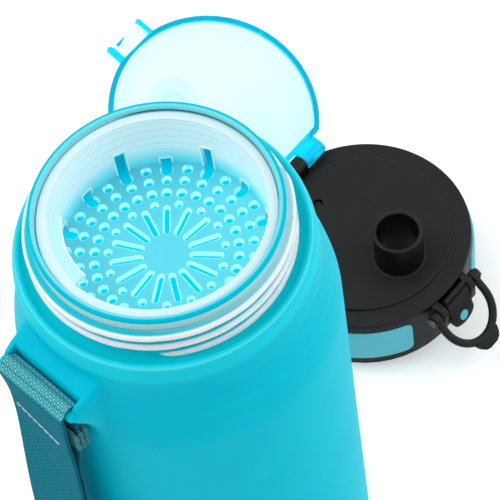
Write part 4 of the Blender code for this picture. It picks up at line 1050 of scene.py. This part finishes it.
def make_lid_shell():
    inner = SHELL_R - SHELL_WALL
    under = DECK_Z - DECK_T
    profile = filleted([
        (0.0, DECK_Z), (DECK_R, DECK_Z), (DECK_R + 0.25, LID_LEDGE_Z), (SHELL_R - 0.2, LID_LEDGE_Z),
        (SHELL_R, LID_LEDGE_Z - 2.4), (SHELL_R, SHELL_BOTTOM + 1.6), (inner + FIT, SHELL_BOTTOM),
        (inner, SHELL_BOTTOM), (inner, LID_LEDGE_Z - DECK_T), (CHIMNEY_OUT + 2 * FIT, LID_LEDGE_Z - DECK_T),
        (CHIMNEY_OUT + 2 * FIT, under), (0.0, under),
    ], 0.55, 4)
    shell = turned("lid_housing", profile, LID)
    spot = LID @ at(SPOUT_U, 0, 0)
    outside = filleted([(SPOUT_R, SPOUT_TOP), (SPOUT_R, DECK_Z), (SPOUT_R + 1.5, DECK_Z)], 1.4, 5)[1:]
    spout = turned("spout", [
        (0.0, SPOUT_TOP), *arc(SPOUT_R - 0.6, SPOUT_TOP - 0.6, 0.6, 90, 0, 5), *outside[:-1],
        (SPOUT_R + 1.5, DECK_Z), (SPOUT_R + 1.5, DECK_Z - 1.0), (0.0, DECK_Z - 1.0),
    ], spot, steps=96)
    bore = turned("bore", [
        (0.0, SPOUT_TOP + 2.0), (SPOUT_BORE + 0.6, SPOUT_TOP + 2.0),
        *arc(SPOUT_BORE + 0.6, SPOUT_TOP - 0.6, 0.6, 90, 180, 3),
        (SPOUT_BORE, under - COLLAR_DROP - 2.0), (0.0, under - COLLAR_DROP - 2.0),
    ], spot, steps=96)
    collar = turned("spout_collar", [
        (SPOUT_BORE - 0.5, under + 0.6), (SPOUT_R, under + 0.6), (SPOUT_R, under - COLLAR_DROP),
        (SPOUT_BORE - 0.5, under - COLLAR_DROP),
    ], spot, steps=96)
    tools = [spout, collar]
    for side in (-1, 1):
        place = LID @ at(0, side * (KNUCKLE_GAP + KNUCKLE_HALF) / 2, 0, SIDEWAYS)
        outline = arc(HINGE_U, HINGE_Z, KNUCKLE_R, 0, 180, 24)
        outline += [(HINGE_U - KNUCKLE_R, LID_LEDGE_Z - FIT), (HINGE_U + KNUCKLE_R, LID_LEDGE_Z - FIT)]
        knuckle = prism("knuckle", outline, KNUCKLE_HALF - KNUCKLE_GAP, place)
        tools.append(rounded(knuckle, 0.3, 3, 60.0))
        place = LID @ at(0, side * (CHEEK_IN + CHEEK_W / 2), 0, SIDEWAYS)
        tools.append(rounded(prism("cheek", CHEEK_OUTLINE, CHEEK_W, place), 0.6, 4, 30.0))
    tools.append(rod("post", 1.2, 1.2, LID @ at(SPRING_SEAT_U - 0.4, 0, SPRING_Z, FORWARD)))
    for tool in tools:
        joined(shell, tool)
    groove = RAIL_REACH + FIT
    for tool in (
        bore,
        rod("pin_bore", PIN_R + FIT, 2 * (KNUCKLE_HALF + 2.0), LID @ at(HINGE_U, 0, HINGE_Z, SIDEWAYS)),
        rod("bail_bore", PIN_R + FIT, 2 * BAIL_PIN_REACH, LID @ at(BAIL_U, 0, BAIL_Z, SIDEWAYS)),
        block("rail_groove", (35.3, -groove, RAIL_Z - FIT), (38.1, groove, RAIL_Z + RAIL_SIZE + FIT), LID),
        rod("vent", VENT_R, 8.0, LID @ at(VENT_U, 0, DECK_Z - 1.0), 36),
    ):
        cut(shell, tool)
    radius = SHELL_R + GRIP_PROUD - GRIP_T - 0.45
    for side in (-1, 1):
        cut(shell, grip_patch("recess", side, 0.25, radius, 3.0, 0.0))
    return smooth(shell, 30.0)


def make_grip(name, side):
    return smooth(grip_patch(name, side, 0.0, SHELL_R + GRIP_PROUD - GRIP_T, GRIP_T, 0.45), 50.0)


def dome(radius, height, base, count=28):
    """Quarter of a rounded box's outline, from its top to its side."""
    power = 2 / COVER_ROUNDNESS
    return [(0.0, base + height)] + [
        (radius * sin(t) ** power, base + height * cos(t) ** power)
        for t in [pi / 2 * i / count for i in range(1, count + 1)]
    ]


def make_cover():
    """Clear dome with a flat back wall, hinge ears, catch and the sleeve of the plug."""
    centre = HINGE @ at(COVER_U, 0, 0)
    spring_line = COVER_LIP + COVER_STRAIGHT
    rise = COVER_RISE - COVER_STRAIGHT
    edge = arc(COVER_R - 0.35, COVER_LIP + 0.35, 0.35, 0, -90, 4)
    cover = turned("cover_dome", dome(COVER_R, rise, spring_line) + edge + [(0.0, COVER_LIP)], centre)
    inner = dome(COVER_R - COVER_WALL, rise - COVER_WALL, spring_line)
    low = COVER_LIP - 2.0
    hollow = turned("hollow", inner + [(COVER_R - COVER_WALL, low), (0.0, low)], centre)
    back = KNUCKLE_R + FIT
    for piece, near, far in (
            (hollow, -60, back + COVER_WALL), (cover, -60, back), (cover, COVER_U + COVER_FRONT, 120)):
        cut(piece, block("trim", (near, -60, low - 5), (far, 60, 60), HINGE))
    cut(cover, hollow)
    start = KNUCKLE_HALF + FIT
    length = EAR_END - start
    ear = arc(0, 0, KNUCKLE_R, 90, 245, 20)
    ear += [(0.0, -KNUCKLE_R), (back + 0.9, COVER_LIP), (back + 0.9, KNUCKLE_R)]
    parts = []
    for side in (-1, 1):
        piece = prism("ear", ear, length, HINGE @ at(0, side * (start + length / 2), 0, SIDEWAYS))
        parts.append(rounded(piece, 0.35, 3, 50.0))
        near, far = sorted((side * (ARM_HALF - ARM_WIDTH), side * ARM_HALF))
        arm = block("arm", (CATCH_ROOT, near, COVER_LIP), (CATCH_TIP, far, COVER_LIP + ARM_HEIGHT), HINGE)
        parts.append(rounded(arm, 0.7, 4, 50.0))
    web_half = ARM_HALF - ARM_WIDTH + FIT
    tip = NIB_START + NIB_T
    parts.append(block("web", (CATCH_ROOT, -web_half, COVER_LIP), (tip, web_half, COVER_LIP + WEB_T), HINGE))
    parts.append(block("nib", (NIB_START, -NIB_HALF, COVER_LIP - NIB_DEPTH),
                       (tip, NIB_HALF, COVER_LIP + WEB_T / 2), HINGE))
    top, foot = COVER_RISE + COVER_LIP - COVER_WALL, PLUG_TOP + FIT
    collar = filleted([(4.2, top), (4.2, foot), (2.8, foot), (2.8, top)], 0.2, 2, True)
    parts.append(turned("collar", collar, HINGE @ at(PLUG_U, 0, 0), steps=48))
    for part in parts:
        joined(cover, part)
    cut(cover, rod("ear_bore", PIN_R + FIT, 40.0, HINGE @ SIDEWAYS))
    return smooth(cover, 28.0)


def make_plug():
    profile = filleted([
        (0.0, PLUG_TOP + 1.7), (2.5, PLUG_TOP + 1.7), (2.5, PLUG_TOP), (PLUG_R, PLUG_TOP),
        (PLUG_R, PLUG_BOTTOM), (6.1, PLUG_BOTTOM), (5.6, PLUG_BOTTOM - 1.9), (0.0, PLUG_BOTTOM - 1.9),
    ], 0.35, 4)
    return smooth(turned("plug_seal", profile, HINGE @ at(PLUG_U, 0, 0), steps=80))


def make_button():
    body = prism("push_button", BUTTON_OUTLINE, 2 * BUTTON_HALF, LID @ SIDEWAYS)
    front = [(BUTTON_HALF, 30.0), (-BUTTON_HALF, 30.0)]
    front += [(BUTTON_HALF * cos(t), INLAY_Z + 3.0 * sin(t))
              for t in np.linspace(pi, 2 * pi, 25)]
    combined(body, "INTERSECT", [prism("front", front, 12.0, LID @ at(38.0, 0, 0, FORWARD))])
    rounded(body, BUTTON_ROUND, 4, 35.0)
    rails = block("rails", (36.8, -RAIL_REACH, RAIL_Z), (37.8, RAIL_REACH, RAIL_Z + RAIL_SIZE), LID)
    joined(body, rails)
    cut(body, rod("spring_bore", SPRING_BORE, 4.0, LID @ at(BUTTON_BACK, 0, SPRING_Z, FORWARD)))
    lean = Matrix.Rotation(pi / 2 - atan(BUTTON_SLOPE), 4, "Y")
    face = LID @ at(INLAY_U, 0, INLAY_Z, lean)
    pocket = [(0.0, 2.0), (INLAY_R + FIT, 2.0), (INLAY_R + FIT, -1.0), (0.0, -1.0)]
    cut(body, turned("pocket", pocket, face, steps=48))
    dot = filleted([(0.0, INLAY_PROUD + 0.08), (INLAY_R, INLAY_PROUD), (INLAY_R, -0.7), (0.0, -0.7)], 0.15, 4)
    inlay = turned("button_dot", dot, face, steps=48)
    return smooth(body, 35.0), smooth(inlay)


def make_return_spring(node):
    """Copy of the button's spring with a mesh of its own. The real spring shortens as the button is pressed;
    this copy is not made to.
    """
    coil = linked("return_spring", node.data.copy())
    coil.matrix_world = node.matrix_world.copy()
    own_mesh(coil)
    return coil


def make_bail():
    bend = BAIL_LENGTH - BAIL_STRAIGHT
    path = [(0.0, BAIL_HALF, 0.0), (BAIL_STRAIGHT / 2, BAIL_HALF, 0.0)]
    path += [(BAIL_STRAIGHT + bend * cos(t), BAIL_HALF * sin(t), 0.0)
             for t in np.linspace(pi / 2, -pi / 2, 49)]
    path += [(BAIL_STRAIGHT / 2, -BAIL_HALF, 0.0), (0.0, -BAIL_HALF, 0.0)]
    ring = tube("lock_ring", path, BAIL_R, BAIL)
    for side in (-1, 1):
        eye = rod("eye", BAIL_EYE_R, BAIL_EYE_W, BAIL @ at(0, side * BAIL_HALF, 0, SIDEWAYS), 45)
        joined(ring, rounded(eye, 0.35, 3, 50.0))
    half = [(BAIL_LENGTH + x * THUMB_LENGTH, y * THUMB_HALF) for x, y in THUMB_SHARES]
    tab = half + [(x, -y) for x, y in half[::-1]]
    thumb = prism("thumb", filleted(tab, 1.0, 4, True), THUMB_T, BAIL)
    joined(ring, rounded(thumb, 0.55, 4, 50.0))
    cut(ring, rod("eye_bore", PIN_R + FIT, 26.0, BAIL @ SIDEWAYS))
    return smooth(ring, 35.0)


# Stage

def make_camera():
    camera = linked("camera", bpy.data.cameras.new("camera"))
    axes = Matrix((CAMERA_RIGHT, CAMERA_UP, CAMERA_BACK)).transposed().to_4x4()
    camera.matrix_world = Matrix.Translation(Vector(CAMERA_PLACE) * MM) @ axes
    camera.data.lens = CAMERA_LENS
    camera.data.clip_start = 0.01
    bpy.context.scene.camera = camera


def seen_directly(g):
    """1 for rays from the camera, or by way of gloss or clear plastic."""
    path = g.add("ShaderNodeLightPath").outputs
    return g.math("MAXIMUM", g.math("MAXIMUM", path["Is Camera Ray"], path["Is Glossy Ray"]),
                  path["Is Transmission Ray"])


def make_floor():
    size = 2500.0
    floor = build("floor", [(x * size, y * size, -0.05) for x, y in ((-1, -1), (1, -1), (1, 1), (-1, 1))],
                  [(0, 1, 2, 3)])
    g = new_graph("white_table")
    g.set(base_color=(0.92, 0.92, 0.92), roughness=0.9, specular_ior_level=0.0,
          emission_color=(1.0, 1.0, 1.0), emission_strength=g.times(seen_directly(g), 0.32))
    floor.data.materials.append(g.owner)


def make_light():
    """White surroundings, brighter where they are seen, and three soft lamps aimed at the object."""
    world = bpy.data.worlds.new("studio")
    bpy.context.scene.world = world
    g = Graph(world, "Background")
    g.set(color=(1.0, 1.0, 1.0), strength=g.blend(seen_directly(g), 0.55, 1.0))
    for name, place, size, power in (
        ("key", (-0.45, 0.65, 1.25), 1.0, 9.0),
        ("fill", (-0.5, -1.0, 0.9), 1.2, 1.6),
        ("side", (0.85, -0.55, 0.75), 0.8, 5.0),
    ):
        lamp = bpy.data.lights.new(name, "AREA")
        lamp.size = size
        lamp.energy = power
        way = Vector(LAMPS_AIM) - Vector(place)
        turn = way.to_track_quat("-Z", "Y").to_matrix().to_4x4()
        linked(name, lamp).matrix_world = Matrix.Translation(place) @ turn


def dress(piece, mat, body, nodes):
    """Give a piece its material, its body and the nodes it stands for."""
    piece.data.materials.clear()
    piece.data.materials.append(mat)
    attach(piece, body)
    if nodes:
        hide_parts(*nodes)


frosted = frosted_material()
black = black_material()
rubber = cloudy_material("soft_teal", (5.0, 4.0), (86, 190, 205), (98, 200, 214), (0.55, 0.68),
                         (0.2, 4.0, 0.15, 0.15))
silicone = cloudy_material("pale_silicone", (4.0, 4.0), (222, 238, 240), (234, 246, 247), (0.5, 0.6),
                           (0.3, 3.0, 0.08, 0.1), subsurface_weight=0.2, subsurface_scale=0.002)
clear_silicone = cloudy_material("clear_silicone", (4.0, 4.0), (232, 253, 255), (244, 255, 255), (0.05, 0.12),
                                 transmission_weight=0.96, ior=1.06)
folded = cloudy_material("folded_webbing", (0.3, 5.0), (8, 66, 80), (90, 184, 194), 0.85,
                         (0.3, 5.0, 0.8, 0.25))
thread = cloudy_material("sewing_thread", (0.2, 2.0), (150, 190, 205), (205, 205, 232), 0.6,
                         (0.2, 2.0, 0.4, 0.1))
steel = steel_material("plain_steel", 186, 206)
dark_steel = steel_material("dark_steel", 62, 84)

make_camera()
make_floor()
make_light()

bottle, bar = make_bottle()
strap, tail = make_strap()
grips = make_grip("grip_left", 1), make_grip("grip_right", -1)
button, dot = make_button()
for piece, mat, body, slot, *nodes in (
    (bottle, frosted, "bottle", "body_plastic", "bottle_body"),
    (bar, frosted, "bottle", "body_plastic"),
    (make_strainer(), strainer_material(), "strainer", "strainer_plastic", "strainer"),
    (strap, webbing_material(), "strap", "strap_webbing", "carry_strap"),
    *[(piece, folded, "strap", "strap_webbing") for piece in tail],
    (make_stitches(), thread, "strap", "strap_webbing"),
    (make_lid_shell(), black, "lid", "lid_plastic", "lid_shell"),
    (grips[0], rubber, "lid", "grip_rubber", "grip_pad_left"),
    (grips[1], rubber, "lid", "grip_rubber", "grip_pad_right"),
    (make_cover(), clear_material(), "cover", "cover_plastic", "flip_cover"),
    (make_plug(), clear_silicone, "cover", "seal_silicone", "spout_plug"),
    (button, black, "button", "lid_plastic", "latch_button"),
    (dot, rubber, "button", "grip_rubber", "button_inlay"),
    (make_bail(), black, "bail", "lid_plastic", "bail_ring"),
    (make_return_spring(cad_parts["button_spring"]), steel, "lid", "steel", "button_spring"),
):
    dress(piece, mat, body, nodes)

for node, mat in (
    ("lid_liner", black), ("lid_gasket", silicone), ("vent_valve", black), ("hinge_pin", steel),
    ("hinge_spring", steel), ("bail_pin_left", dark_steel), ("bail_pin_right", dark_steel),
):
    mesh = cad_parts[node].data
    mesh.materials.clear()
    mesh.materials.append(mat)

bpy.context.scene.view_settings.view_transform = "Standard"
